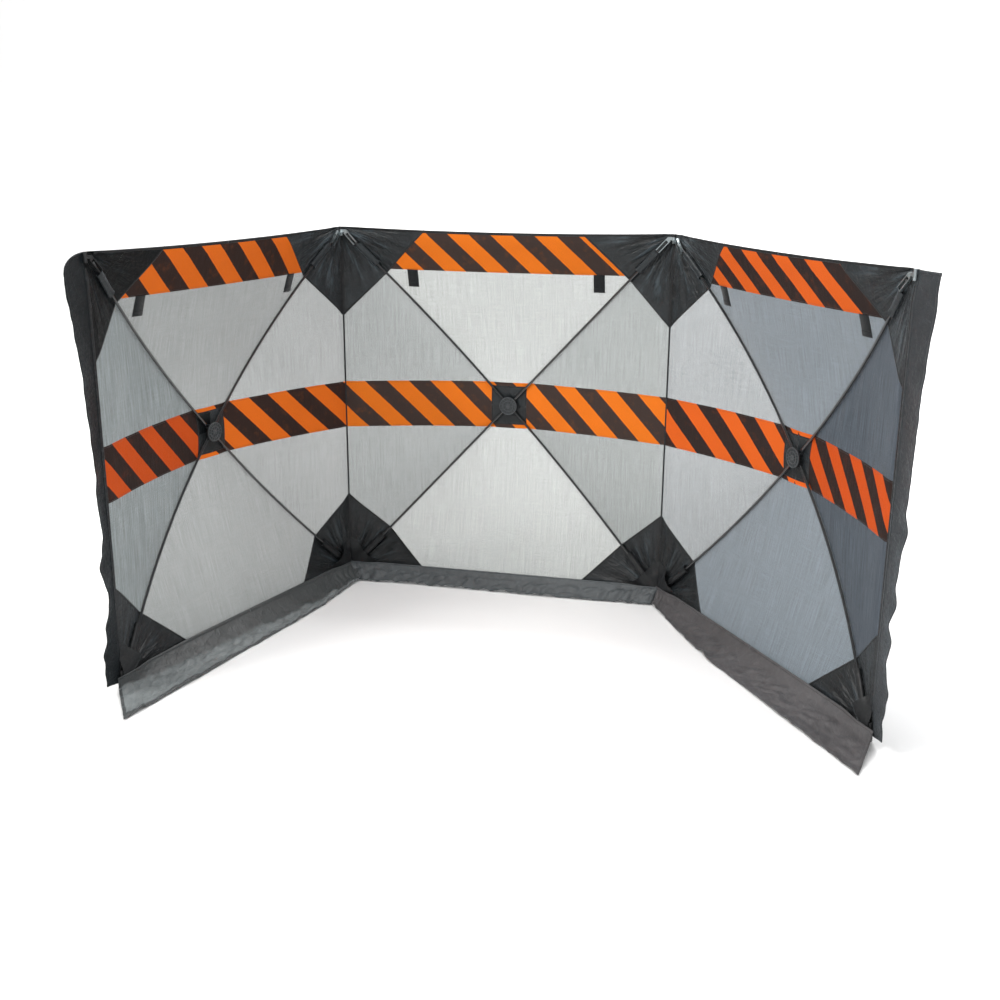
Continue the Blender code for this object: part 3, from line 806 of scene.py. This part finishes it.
# one skirt nylon in lit and shaded copies: the left skirt, lying in the light, is painted lighter, and its
# part against the wall is painted shade
SKIRT_NYLONS = {
    "left": nylon_paint(
        "skirt_nylon_left", (0.175, 0.192, 0.195), 0.20, 0.55, 0.44, fold=(0.080, 0.27)
    ),
    "centre": nylon_paint("skirt_nylon_centre", (0.064, 0.073, 0.078), 0.15, 0.45, 0.46),
    "right": nylon_paint("skirt_nylon_right", (0.066, 0.062, 0.064), 0.15, 0.35, 0.50),
}
BINDING = nylon_paint("binding", (0.006, 0.007, 0.008), 0.10, 0.20, 0.50)
WEBBING = webbing_paint("black_webbing", (0.0065, 0.0085, 0.010))
THREAD = thread_paint("grey_thread", (0.07, 0.07, 0.07))
DARK_BRACKET = enamel_paint("dark_bracket_enamel", (0.022, 0.023, 0.024))
# the brackets drawn dark: the lower ones, and the left wall's top left one, which is galvanised but painted
# dark as shade; the others are galvanised
DARK_BRACKETS = [f"bracket_{name}_bottom_{side}" for name in NETS for side in ("left", "right")]
DARK_BRACKETS.append("bracket_left_top_left")
CAD_PAINTS = {
    "pole_": fibreglass_paint("fibreglass", (0.010, 0.011, 0.012)),
    "hub_": plastic_paint("hub_plastic", (0.030, 0.034, 0.037)),
    "bracket_": steel_paint("galvanised_steel", (0.60, 0.67, 0.69)),
    "seam_pin_": enamel_paint("black_enamel", (0.018, 0.018, 0.019)),
}
# lighter than the hub's own plastic: painted highlight on the hub face's rings and ribs
HUB_FACE_HIGHLIT = plastic_paint("hub_ring_plastic", (0.060, 0.068, 0.073), 700.0, 0.36)
SCREW_STEEL = steel_paint("screw_steel", (0.12, 0.125, 0.13))


# ---- the cloth of the walls ----
def gather_to_pole(obj, wall, quarter):
    """Cloth goes with its quarter's pole."""
    side, level = QUARTERS[quarter]
    anchor = wall.to_frame(side * cos(SLOPE) * 0.4, HUB_BULGE, MID_H + level * sin(SLOPE) * 0.4)
    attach(obj, f"pole_{wall.name}_{quarter}")
    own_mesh(obj)


def bind_quarter(wall, side, level, tag):
    """Bindings along a quarter's free or seam edge, its patches' edges and the top hem."""
    tip_x = HALF_W - PATCH_X
    tip_z = HALF_H - (PATCH_TOP_Z if level > 0 else PATCH_LOW_Z)
    at_seam = side in wall.seams
    edge = HALF_W - (0.002 if at_seam else 0.0045)
    hub_x, hub_z = HUB_PATCH_X - HUB_BINDING_W / 2, HUB_PATCH_Z - HUB_BINDING_W / 2
    lines = [
        ((edge, 0), (edge, HALF_H - 0.050), SEAM_BINDING_W if at_seam else EDGE_BINDING_W, 0.0026),
        ((tip_x + 0.002, HALF_H * 0.999), (HALF_W * 0.999, tip_z + 0.002), PATCH_BINDING_W, 0.0022),
        ((hub_x, 0), (hub_x, HUB_PATCH_Z), HUB_BINDING_W, 0.0022),
        ((0, hub_z), (HUB_PATCH_X, hub_z), HUB_BINDING_W, 0.0022),
    ]
    if level > 0:
        lines.append(((0, HALF_H - 0.005), (HALF_W - 0.045, HALF_H - 0.005), EDGE_BINDING_W, 0.0028))
    binding = Builder()
    for (x0, z0), (x1, z1), wide, thick in lines:
        ribbon(binding, wall, steps((side * x0, level * z0), (side * x1, level * z1)), wide, thick)
    return binding.make(f"binding_{tag}", (BINDING,))


def sew_quarter(wall, side, level, tag):
    """Rows of stitches beside the bindings, round the hub patch and along the bands."""
    patch_z = PATCH_TOP_Z if level > 0 else PATCH_LOW_Z
    tip_x, tip_z = HALF_W - PATCH_X, HALF_H - patch_z
    band = BAND_HALF - 0.005
    hub_x, hub_z = HUB_PATCH_X - 0.009, HUB_PATCH_Z - 0.009
    rows = [
        ((tip_x + STITCH_INSET, HALF_H * 0.985), (HALF_W * 0.985, tip_z + STITCH_INSET)),
        ((HUB_PATCH_X + 0.004, band), (HALF_W - 0.010, band)),
        ((0.004, hub_z), (hub_x, hub_z)),
        ((hub_x, 0.004), (hub_x, hub_z)),
        ((HALF_W - PATCH_X / 2, HALF_H - 0.006), (HALF_W - 0.006, HALF_H - patch_z / 2)),
    ]
    if level > 0:
        line, hem = HALF_H - TOP_BAND + 0.005, HALF_H - TOP_HEM + 0.001
        reach = HALF_W - PATCH_X * (1 - TOP_BAND / patch_z) - STITCH_INSET
        rows += [((0.004, line), (reach, line)), ((0.004, hem), (tip_x, hem))]
    sewn = Builder()
    for (x0, z0), (x1, z1) in rows:
        stitches(sewn, wall, (side * x0, level * z0), (side * x1, level * z1))
    return sewn.make(f"stitches_{tag}", (THREAD,))


def build_quarter(wall, quarter):
    """A quarter's net, band and patches with their trim; it all goes with the quarter's pole."""
    side, level = QUARTERS[quarter]
    tag = f"{wall.name}_{quarter}"
    # which lit or shaded copy of the patch nylon a quarter gets
    kind = "low" if level < 0 else "left" if wall.name == "left" and side < 0 else "top"
    patch_paint = (PATCH_NYLONS[kind],)
    bm = cut_quarter(side, level)
    net, net_area = region_piece(bm, wall, level, ("net",), f"net_{tag}", NETS[wall.name])
    thicken(net, NET_T)
    band, band_area = region_piece(bm, wall, level, ("band",), f"band_{tag}", BANDS[wall.name])
    thicken(band, BAND_T)
    patches = ("patch", "hub_patch")
    patch, patch_area = region_piece(bm, wall, level, patches, f"patch_{tag}", patch_paint, fine=3)
    thicken(patch, FABRIC_T)
    bm.free()
    binding = bind_quarter(wall, side, level, tag)
    sewn = sew_quarter(wall, side, level, tag)
    sleeve = build_sleeve(wall, side, level, f"sleeve_{tag}")
    cloth = [net, band, patch, binding, sewn]
    if level > 0:
        band_trim, patch_trim = [build_tie(wall, side, f"tie_strap_{tag}")], []
    else:
        band_trim, patch_trim = [], [build_pocket(wall, side, f"corner_pocket_{tag}")]
    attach(sleeve, f"pole_{tag}")
    for obj in cloth + band_trim + patch_trim:
        gather_to_pole(obj, wall, quarter)
    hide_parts(f"mesh_{tag}")
    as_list(band_trim)


def pole_point(side, level, reach):
    return Vector((side * cos(SLOPE) * reach, pole_height(reach), MID_H + level * sin(SLOPE) * reach))


def build_sleeve(wall, side, level, name):
    """The tube of cloth on the patch that the pole's end runs in."""
    start, end = DIAGONAL - SLEEVE_FROM, DIAGONAL - SLEEVE_TO
    across = Vector((-side * sin(SLOPE), 0, level * cos(SLOPE)))
    rings, uvs = [], []
    rows, count = 16, 18
    for i in range(rows + 1):
        reach = start + (end - start) * i / rows
        centre = pole_point(side, level, reach)
        swell = 1 + 0.10 * noise_at(reach * 60, side, level)
        mouth = 1 + 0.22 * exp(-i / 1.4)
        ring, row = [], []
        for k in range(count):
            a = 2 * pi * k / count
            wide = SLEEVE_WIDE * swell * mouth
            deep = SLEEVE_DEEP * mouth if cos(a) < 0 else SLEEVE_BACK
            crumple = 1 + 0.06 * noise_at(reach * 90, 2.4 * cos(a), 2.4 * sin(a) + side)
            p = centre + across * (wide * sin(a) * crumple) + Vector((0, deep * cos(a) * crumple, 0))
            ring.append(wall.matrix @ p)
            row.append((reach, SLEEVE_MEAN_R * a))
        rings.append(ring)
        uvs.append(row)
    tube = Builder()
    tube.loft(rings, capped=False, uvs=uvs)
    obj = tube.make(name, (BINDING if level < 0 else NYLON,))
    thicken(obj, SHEET_T, 1.0)
    return obj


def build_pocket(wall, side, name):
    """The triangle of cloth that covers a lower corner's bracket and the pole's end."""
    turn = wall.seams.get(side)
    rows = 14
    verts, uvs, faces, index = [], [], [], {}
    for j in range(rows + 1):
        for i in range(rows + 1 - j):
            dx, dz = POCKET_LEG * i / rows, POCKET_LEG * j / rows
            x, z = HALF_W - dx, -(HALF_H - dz)
            across = abs(dx * sin(SLOPE) - dz * cos(SLOPE))
            reach = dx * cos(SLOPE) + dz * sin(SLOPE)
            cloth = drape(wall, side * x, z).y
            cover = smooth((0.060 - across) / 0.045)
            mouth = smooth((POCKET_LEG * 0.66 - reach) / 0.05)
            crumple = 0.0022 * noise_at(side * x * 34, z * 34, 3.0 * len(wall.name))
            crumple += 0.0012 * abs(noise_at(side * x * 80, z * 80, 9.0))
            y = cloth - 0.0012 - cover * (cloth + 0.0078 + 0.0018 * mouth) - crumple
            y = min(y, cloth - 0.0012)
            if turn:
                x = min(x, HALF_W - max(-y, 0.0) / tan((pi - turn) / 2) - 0.0008)
            index[i, j] = len(verts)
            verts.append(wall.to_frame(side * x, y, MID_H + z))
            uvs.append((side * x, z))
    for j in range(rows):
        for i in range(rows - j):
            a, b, c = index[i, j], index[i + 1, j], index[i, j + 1]
            faces.append((a, b, c))
            if i + j + 2 <= rows:
                faces.append((b, index[i + 1, j + 1], c))
    obj = mesh_object(name, verts, faces, uvs, (BINDING,))
    thicken(obj, FABRIC_T)
    return obj


def build_tie(wall, side, name):
    """A webbing tie that hangs from the top band's lower edge, with its end folded under."""
    x, top = side * TIE_PLACES[wall.name][(side + 1) // 2], HALF_H - TOP_BAND + 0.001
    low = top - TIE_L
    strap = Builder()
    ribbon(strap, wall, steps((x, top), (x - 0.001, low), 0.006), TIE_W, TIE_T, -0.0016)
    fold = steps((x - 0.0008, low + TIE_FOLD), (x - 0.001, low + 0.0005), 0.005)
    ribbon(strap, wall, fold, TIE_W - 0.0004, TIE_T, -0.0030)
    obj = strap.make(name, (WEBBING,))
    return obj


# ---- loose sheets ----
def grid_piece(name, place, columns, rows, size, mat):
    """A sheet whose points are place(u, v); its uv map is in metres."""
    verts, uvs, faces = [], [], []
    for j in range(rows + 1):
        for i in range(columns + 1):
            u, v = i / columns, j / rows
            verts.append(place(u, v))
            uvs.append((u * size[0], v * size[1]))
    for j in range(rows):
        for i in range(columns):
            k = j * (columns + 1) + i
            faces.append((k, k + 1, k + columns + 2, k + columns + 1))
    return mesh_object(name, verts, faces, uvs, (mat,))


def row_at(v, count):
    return [(i / count, v) for i in range(count + 1)]


def column_at(u, count):
    return [(u, i / count) for i in range(count + 1)]


def surface_strip(builder, place, line, half, thick, lift=0.0):
    """A narrow band that follows a line of (u, v) points on a sheet; half is half its width in (u, v)."""
    rings, uvs, long = [], [], 0.0
    last = None
    for u, v in line:
        a, b = place(u - half[0], v - half[1]), place(u + half[0], v + half[1])
        c = (a + b) / 2
        along = place(u + 0.01, v) - place(u - 0.01, v)
        across = place(u, v + 0.01) - place(u, v - 0.01)
        normal = along.cross(across).normalized()
        inner = (a + (b - a) * 0.12, b - (b - a) * 0.12)
        up = normal * thick / 2
        shift = normal * lift
        rings.append([q + shift for q in (a, inner[0] + up, inner[1] + up, b, inner[1] - up, inner[0] - up)])
        long += (c - last).length if last else 0.0
        last = c
        wide = (b - a).length
        uvs.append([(long, w * wide) for w in (0, 0.2, 0.8, 1, 0.8, 0.2)])
    builder.loft(rings, uvs=uvs)


def skirt_place(wall, side):
    """The shape of half a skirt: u from the wall's middle to its end, v from the wall to the free edge."""
    turn = wall.seams.get(side)
    seed = 3.7 * len(wall.name)

    def place(u, v):
        flat_x = u * HALF_W
        along = HALF_W - side * flat_x if wall.name == "left" else HALF_W + side * flat_x
        reach = lerp_table(SKIRT_REACHES[wall.name], along)
        top = lerp_table(SKIRT_TOPS[wall.name], along)
        root = 0.0005 + SKIRT_OFF * smooth(1 - (HALF_W * (1 - abs(u)) - 0.07) / 0.09)
        reach += 0.0045 * noise_at(along * 9, seed, 0)
        reach += 0.0025 * noise_at(along * 31, seed, 0)
        if wall.name == "left":
            bend = lerp_table(FOLD_REACH, along)
            if v < FOLD_SHARE:
                t = max(v, 0.0) / FOLD_SHARE
                inward = root + (bend - root) * t ** 1.15
                height = top + (0.007 - top) * t ** 0.9
            else:
                t = (v - FOLD_SHARE) / (1 - FOLD_SHARE)
                inward = bend + (reach - bend) * t
                height = 0.002 + 0.005 * exp(-9 * t)
        elif wall.name == "centre":
            inward = root + (reach - root) * v
            height = 0.002 + (top - 0.002) * max(1 - v, 0.0) ** 1.25
        else:
            inward = root + (reach - root) * max(v, 0.0) ** 1.1
            height = 0.002 + (top - 0.002) * max(1 - v, 0.0) ** 1.9
        if turn:
            end = HALF_W - inward / tan((pi - turn) / 2) + SKIRT_PAST
        else:
            end = HALF_W + 0.030 + 0.85 * (inward - SKIRT_OFF)
        x = u * end
        sx = side * x
        lying = smooth((v - 0.22) / 0.3)
        ripple = noise_at(sx * 11, inward * 15, seed)
        facet = abs(noise_at(sx * 19 + inward * 22, inward * 24 - sx * 6, seed + 2))
        small = abs(noise_at(sx * 44 + inward * 30, inward * 38, seed + 4))
        rough = 0.55 if wall.name == "right" else 1.0
        height += rough * lying * (0.009 * abs(ripple) + 0.016 * facet + 0.005 * small)
        inward -= rough * 0.004 * ripple * smooth(v * 4) * (1 - lying)
        sway = noise_at(sx * 8, inward * 30, seed + 6)
        height += rough * 0.004 * (1 - lying) * smooth(v * 6) * sway
        if turn:
            near = smooth((u - 0.70) / 0.30)
            fold = abs(sin(x * 105 + inward * 60 + 3 * ripple))
            height += near * 0.010 * fold * smooth(v / 0.25) * (1 - 0.6 * v)
            height += near * 0.008 * smooth(v * 3) * (1 - v)
        curl = max(0.0, noise_at(sx * 8, seed + 9, 0) + 0.1)
        height += 0.004 * smooth((v - 0.86) / 0.14) * curl
        return wall.to_frame(side * x, -inward, max(height, 0.0016))

    return place


def build_skirt(wall, side):
    """Half a ground skirt and its hems; it stays with its corner's bracket."""
    name = "left" if side < 0 else "right"
    quarter = f"bottom_{name}"
    place = skirt_place(wall, side)
    length = SKIRT_SEAM_L if side in wall.seams else SKIRT_FREE_L
    depth = SKIRT_DEPTHS[wall.name][(side + 1) // 2]
    paint = SKIRT_NYLONS[wall.name]
    sheet = grid_piece(f"skirt_cloth_{wall.name}_{name}", place, 96, 30, (length, depth), paint)
    thicken(sheet, SHEET_T)
    hem = Builder()
    surface_strip(hem, place, row_at(0.968, 90), (0.0, 0.032), 0.0030, 0.0006)
    surface_strip(hem, place, column_at(0.992, 30)[2:], (0.009, 0.0), 0.0028, 0.0006)
    surface_strip(hem, place, row_at(0.03, 60), (0.0, 0.035), 0.0028)
    hem = hem.make(f"skirt_hem_{wall.name}_{name}", (paint,))
    body = f"bracket_{wall.name}_{quarter}"
    if body == "bracket_centre_bottom_left":
        body = "base"
    anchor = wall.to_frame(side * HALF_W, 0, 0)
    for obj in (sheet, hem):
        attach(obj, body)
        tuple(wall.along)
        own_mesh(obj)
    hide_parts(f"skirt_{wall.name}_{name}")


def flap_place(wall, side, low, high):
    """The shape of half a side flap: u from the wall's edge to the free edge, v upwards."""
    seed = 2.9 if side > 0 else 8.1

    def place(u, v):
        z = low + v * (high - low)
        turn = radians(lerp_table(FLAP_TURNS[wall.name], z))
        wave = noise_at(z * 7.5, seed, 0) + 0.5 * noise_at(z * 17, seed, 3)
        loose = 4.0 + 4.5 * smooth((1.0 - z) / 0.5) * smooth(z / 0.25)
        turn += radians(loose) * wave * min(1.0, u * 1.5)
        bend = turn * (0.55 + 0.45 * u)
        out, inward = u * FLAP_W * cos(bend), u * FLAP_W * sin(bend)
        billow = 0.006 * sin(pi * u) * noise_at(z * 5, seed, 6)
        root = drape(wall, side * HALF_W, max(min(z - MID_H, HALF_H), -HALF_H))
        y = root.y * (1 - u) ** 3 - inward - billow
        if wall.name == "left":
            z -= 0.055 * (1 - sqrt(max(0.0, 1 - u * u))) * smooth((z - 1.25) / 0.25)
        if low == FLAP_LOW:
            z += FLAP_CUT * u * smooth(1 - (z - low) / 0.25)
        return wall.to_frame(side * (HALF_W + out), y, z)

    return place


def build_flap(wall, side, level):
    """Half a side flap and its hems; it goes with the pole of the quarter that it is sewn to."""
    name = "top" if level > 0 else "bottom"
    low, high = (MID_H, WALL_TOP - 0.001) if level > 0 else (FLAP_LOW, MID_H)
    place = flap_place(wall, side, low, high)
    flat = (FLAP_W, high - low)
    sheet = grid_piece(f"side_flap_{wall.name}_{name}", place, 12, 80, flat, FLAP_NYLONS[wall.name])
    thicken(sheet, FABRIC_T)
    hem = Builder()
    surface_strip(hem, place, column_at(0.955, 90), (0.045, 0.0), 0.0032)
    surface_strip(hem, place, row_at(0.992 if level > 0 else 0.008, 20), (0.0, 0.008), 0.0032)
    surface_strip(hem, place, column_at(0.04, 90), (0.05, 0.0), 0.0034)
    hem = hem.make(f"flap_hem_{wall.name}_{name}", (FLAP_NYLONS[wall.name],))
    quarter = f"{name}_{'left' if side < 0 else 'right'}"
    for obj in (sheet, hem):
        gather_to_pole(obj, wall, quarter)
    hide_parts(f"flap_{wall.name}_{name}")


# ---- hubs ----
def turned(builder, wall, profile, height, count):
    """A turned ring about the hub's axis: (radius, distance towards the sheltered side) points."""
    rings = []
    for radius, inward in profile:
        ring = []
        for k in range(count):
            a = 2 * pi * k / count
            ring.append(wall.to_frame(radius * cos(a), height - inward, MID_H + radius * sin(a)))
        rings.append(ring)
    builder.loft(rings)


# each ring of the hub's face: how many sides it has, and its profile
HUB_RINGS = [
    (48, [(0.0372, -0.0008), (0.0372, 0.0016), (0.0362, 0.0024),
          (0.0346, 0.0024), (0.0338, 0.0016), (0.0338, -0.0008)]),
    (40, [(0.0236, -0.0008), (0.0236, 0.0018), (0.0228, 0.0024),
          (0.0216, 0.0024), (0.0208, 0.0018), (0.0208, -0.0008)]),
    (32, [(0.0100, -0.0008), (0.0100, 0.0022), (0.0090, 0.0032), (0.0062, 0.0032), (0.0056, 0.0016)]),
]
# each set of ribs: how many, the first one's angle in steps, its ends' radii, and its section
HUB_RIBS = [
    (16, 0.5, (0.0232, 0.0350), [(-0.0007, -0.0006), (-0.0005, 0.0016), (0.0005, 0.0016), (0.0007, -0.0006)]),
    (8, 0.0, (0.0095, 0.0215), [(-0.0009, -0.0006), (-0.0007, 0.0018), (0.0007, 0.0018), (0.0009, -0.0006)]),
]
HUB_SCREW = [(0.0050, 0.0004), (0.0050, 0.0022), (0.0042, 0.0034), (0.0022, 0.0040), (0.0021, 0.0028)]


def build_hub_face(wall):
    """Moulded rings and ribs on the hub's plate, and its screw."""
    face = HUB_BULGE - 0.016
    disc = Builder()
    for count, profile in HUB_RINGS:
        turned(disc, wall, profile, face, count)
    for count, first, radii, section in HUB_RIBS:
        for k in range(count):
            a = 2 * pi * (k + first) / count
            c, s = cos(a), sin(a)
            disc.loft([
                [wall.to_frame(r * c - w * s, face - d, MID_H + r * s + w * c) for w, d in section]
                for r in radii
            ])
    disc = disc.make(f"hub_face_{wall.name}", (HUB_FACE_HIGHLIT,))
    screw = Builder()
    turned(screw, wall, HUB_SCREW, face, 24)
    screw = screw.make(f"hub_screw_{wall.name}", (SCREW_STEEL,))
    for obj in (disc, screw):
        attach(obj, f"hub_{wall.name}")


def build_pull_strap(wall):
    """Webbing tab on the outside of the hub, with two stitched bars across it."""
    rows = 26
    bars, bar_half = (3, 21), 0.0045
    across = (0, 0.002, PULL_W - 0.002, PULL_W, PULL_W - 0.002, 0.002)

    def section(v, half, thick, dz=0.0):
        z = -PULL_START - v * PULL_L
        out = drape(wall, 0, z).y + 0.0032 + 0.011 * sin(pi * v) ** 0.8
        sway = 0.004 * sin(2.2 * v)
        outline = ((-1, 0), (-0.92, 1), (0.92, 1), (1, 0), (0.92, -1), (-0.92, -1))
        return [wall.to_frame(sway + w * half, out + h * thick, MID_H + z + dz) for w, h in outline]

    strap = Builder()
    shares = [i / rows for i in range(rows + 1)]
    strap.loft(
        [section(v, PULL_W / 2, 0.0008) for v in shares],
        uvs=[[(v * PULL_CLOTH_L, w) for w in across] for v in shares],
    )
    for row in bars:
        ends = [section(row / rows, PULL_W / 2 + 0.0003, 0.0013, dz) for dz in (-bar_half, bar_half)]
        strap.loft(ends, uvs=[[(u, w) for w in across] for u in (0, 2 * bar_half)])
    strap = strap.make(f"pull_tab_{wall.name}", (WEBBING,))
    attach(strap, f"hub_{wall.name}")
    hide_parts(f"pull_strap_{wall.name}")


# ---- the object ----
for node, obj in frame["nodes"].items():
    for prefix, mat in CAD_PAINTS.items():
        if node.startswith(prefix):
            obj.data.materials.clear()
            obj.data.materials.append(DARK_BRACKET if node in DARK_BRACKETS else mat)

for wall in WALLS:
    for quarter in QUARTERS:
        build_quarter(wall, quarter)
    build_hub_face(wall)
    build_pull_strap(wall)
    for side in (-1, 1):
        build_skirt(wall, side)
        if side not in wall.seams:
            for level in (-1, 1):
                build_flap(wall, side, level)


# ---- floor, light and camera ----
def build_stage():
    """A pale floor that sweeps up into a backdrop."""
    paint = Paint("pale_floor", "Object", Roughness=0.9, Specular_IOR_Level=0.1)
    tone = paint.mix(paint.noise(3.0, 3.0), (0.82, 0.82, 0.82), (0.84, 0.84, 0.84))
    paint.set(Base_Color=tone)
    profile = [(-24.0, 0.0), (5.0, 0.0)]
    profile += [(5.0 + 3.0 * sin(radians(a)), 3.0 - 3.0 * cos(radians(a))) for a in range(10, 91, 10)]
    profile.append((8.0, 14.0))
    verts = [(x, y, z) for y, z in profile for x in (-22.0, 24.0)]
    faces = [(i, i + 1, i + 3, i + 2) for i in range(0, len(verts) - 2, 2)]
    mesh_object("floor", verts, faces, None, (paint.mat,))


def area_light(name, place, aim, size, power, colour):
    data = bpy.data.lights.new(name, "AREA")
    data.shape = "SQUARE"
    data.size = size
    data.energy = power
    data.color = colour
    light = new_object(name, data)
    light.location = place
    light.rotation_euler = (Vector(aim) - Vector(place)).to_track_quat("-Z", "Y").to_euler()


def build_camera():
    """A little above the walls' tops, to the right of their middle, looking down at the sheltered side."""
    data = bpy.data.cameras.new("camera")
    data.lens = 44.6
    data.sensor_width = 36.0
    data.clip_end = 100.0
    camera = new_object("camera", data)
    yaw, pitch, roll = radians(-12.89), radians(16.46), radians(0.34)
    forward = Vector((sin(yaw) * cos(pitch), cos(yaw) * cos(pitch), -sin(pitch)))
    right = Vector((cos(yaw), -sin(yaw), 0))
    up = right.cross(forward)
    right, up = right * cos(roll) + up * sin(roll), up * cos(roll) - right * sin(roll)
    turn = Matrix((right, up, -forward)).transposed().to_4x4()
    camera.matrix_world = Matrix.Translation((1.786, -4.872, 1.8645)) @ turn
    bpy.context.scene.camera = camera


build_stage()
build_camera()
world = bpy.data.worlds.new("world")
world.use_nodes = True
world.node_tree.nodes["Background"].inputs[0].default_value = (1.0, 1.0, 1.0, 1.0)
world.node_tree.nodes["Background"].inputs[1].default_value = 0.47
bpy.context.scene.world = world
area_light("key", (-3.0, -4.0, 4.6), (0.7, -0.3, 0.7), 1.6, 210, (1.0, 0.985, 0.96))
area_light("fill", (5.0, -4.0, 3.0), (0.8, -0.3, 0.7), 3.0, 30, (0.93, 0.97, 1.0))
area_light("top", (0.8, -1.6, 6.0), (0.8, -1.4, 0.0), 7.0, 290, (1.0, 1.0, 1.0))
area_light("backdrop", (0.8, 3.0, 7.0), (0.8, 8.5, 2.0), 6.0, 1150, (1.0, 1.0, 1.0))
bpy.context.scene.view_settings.view_transform = "Standard"

bpy.context.view_layer.update()
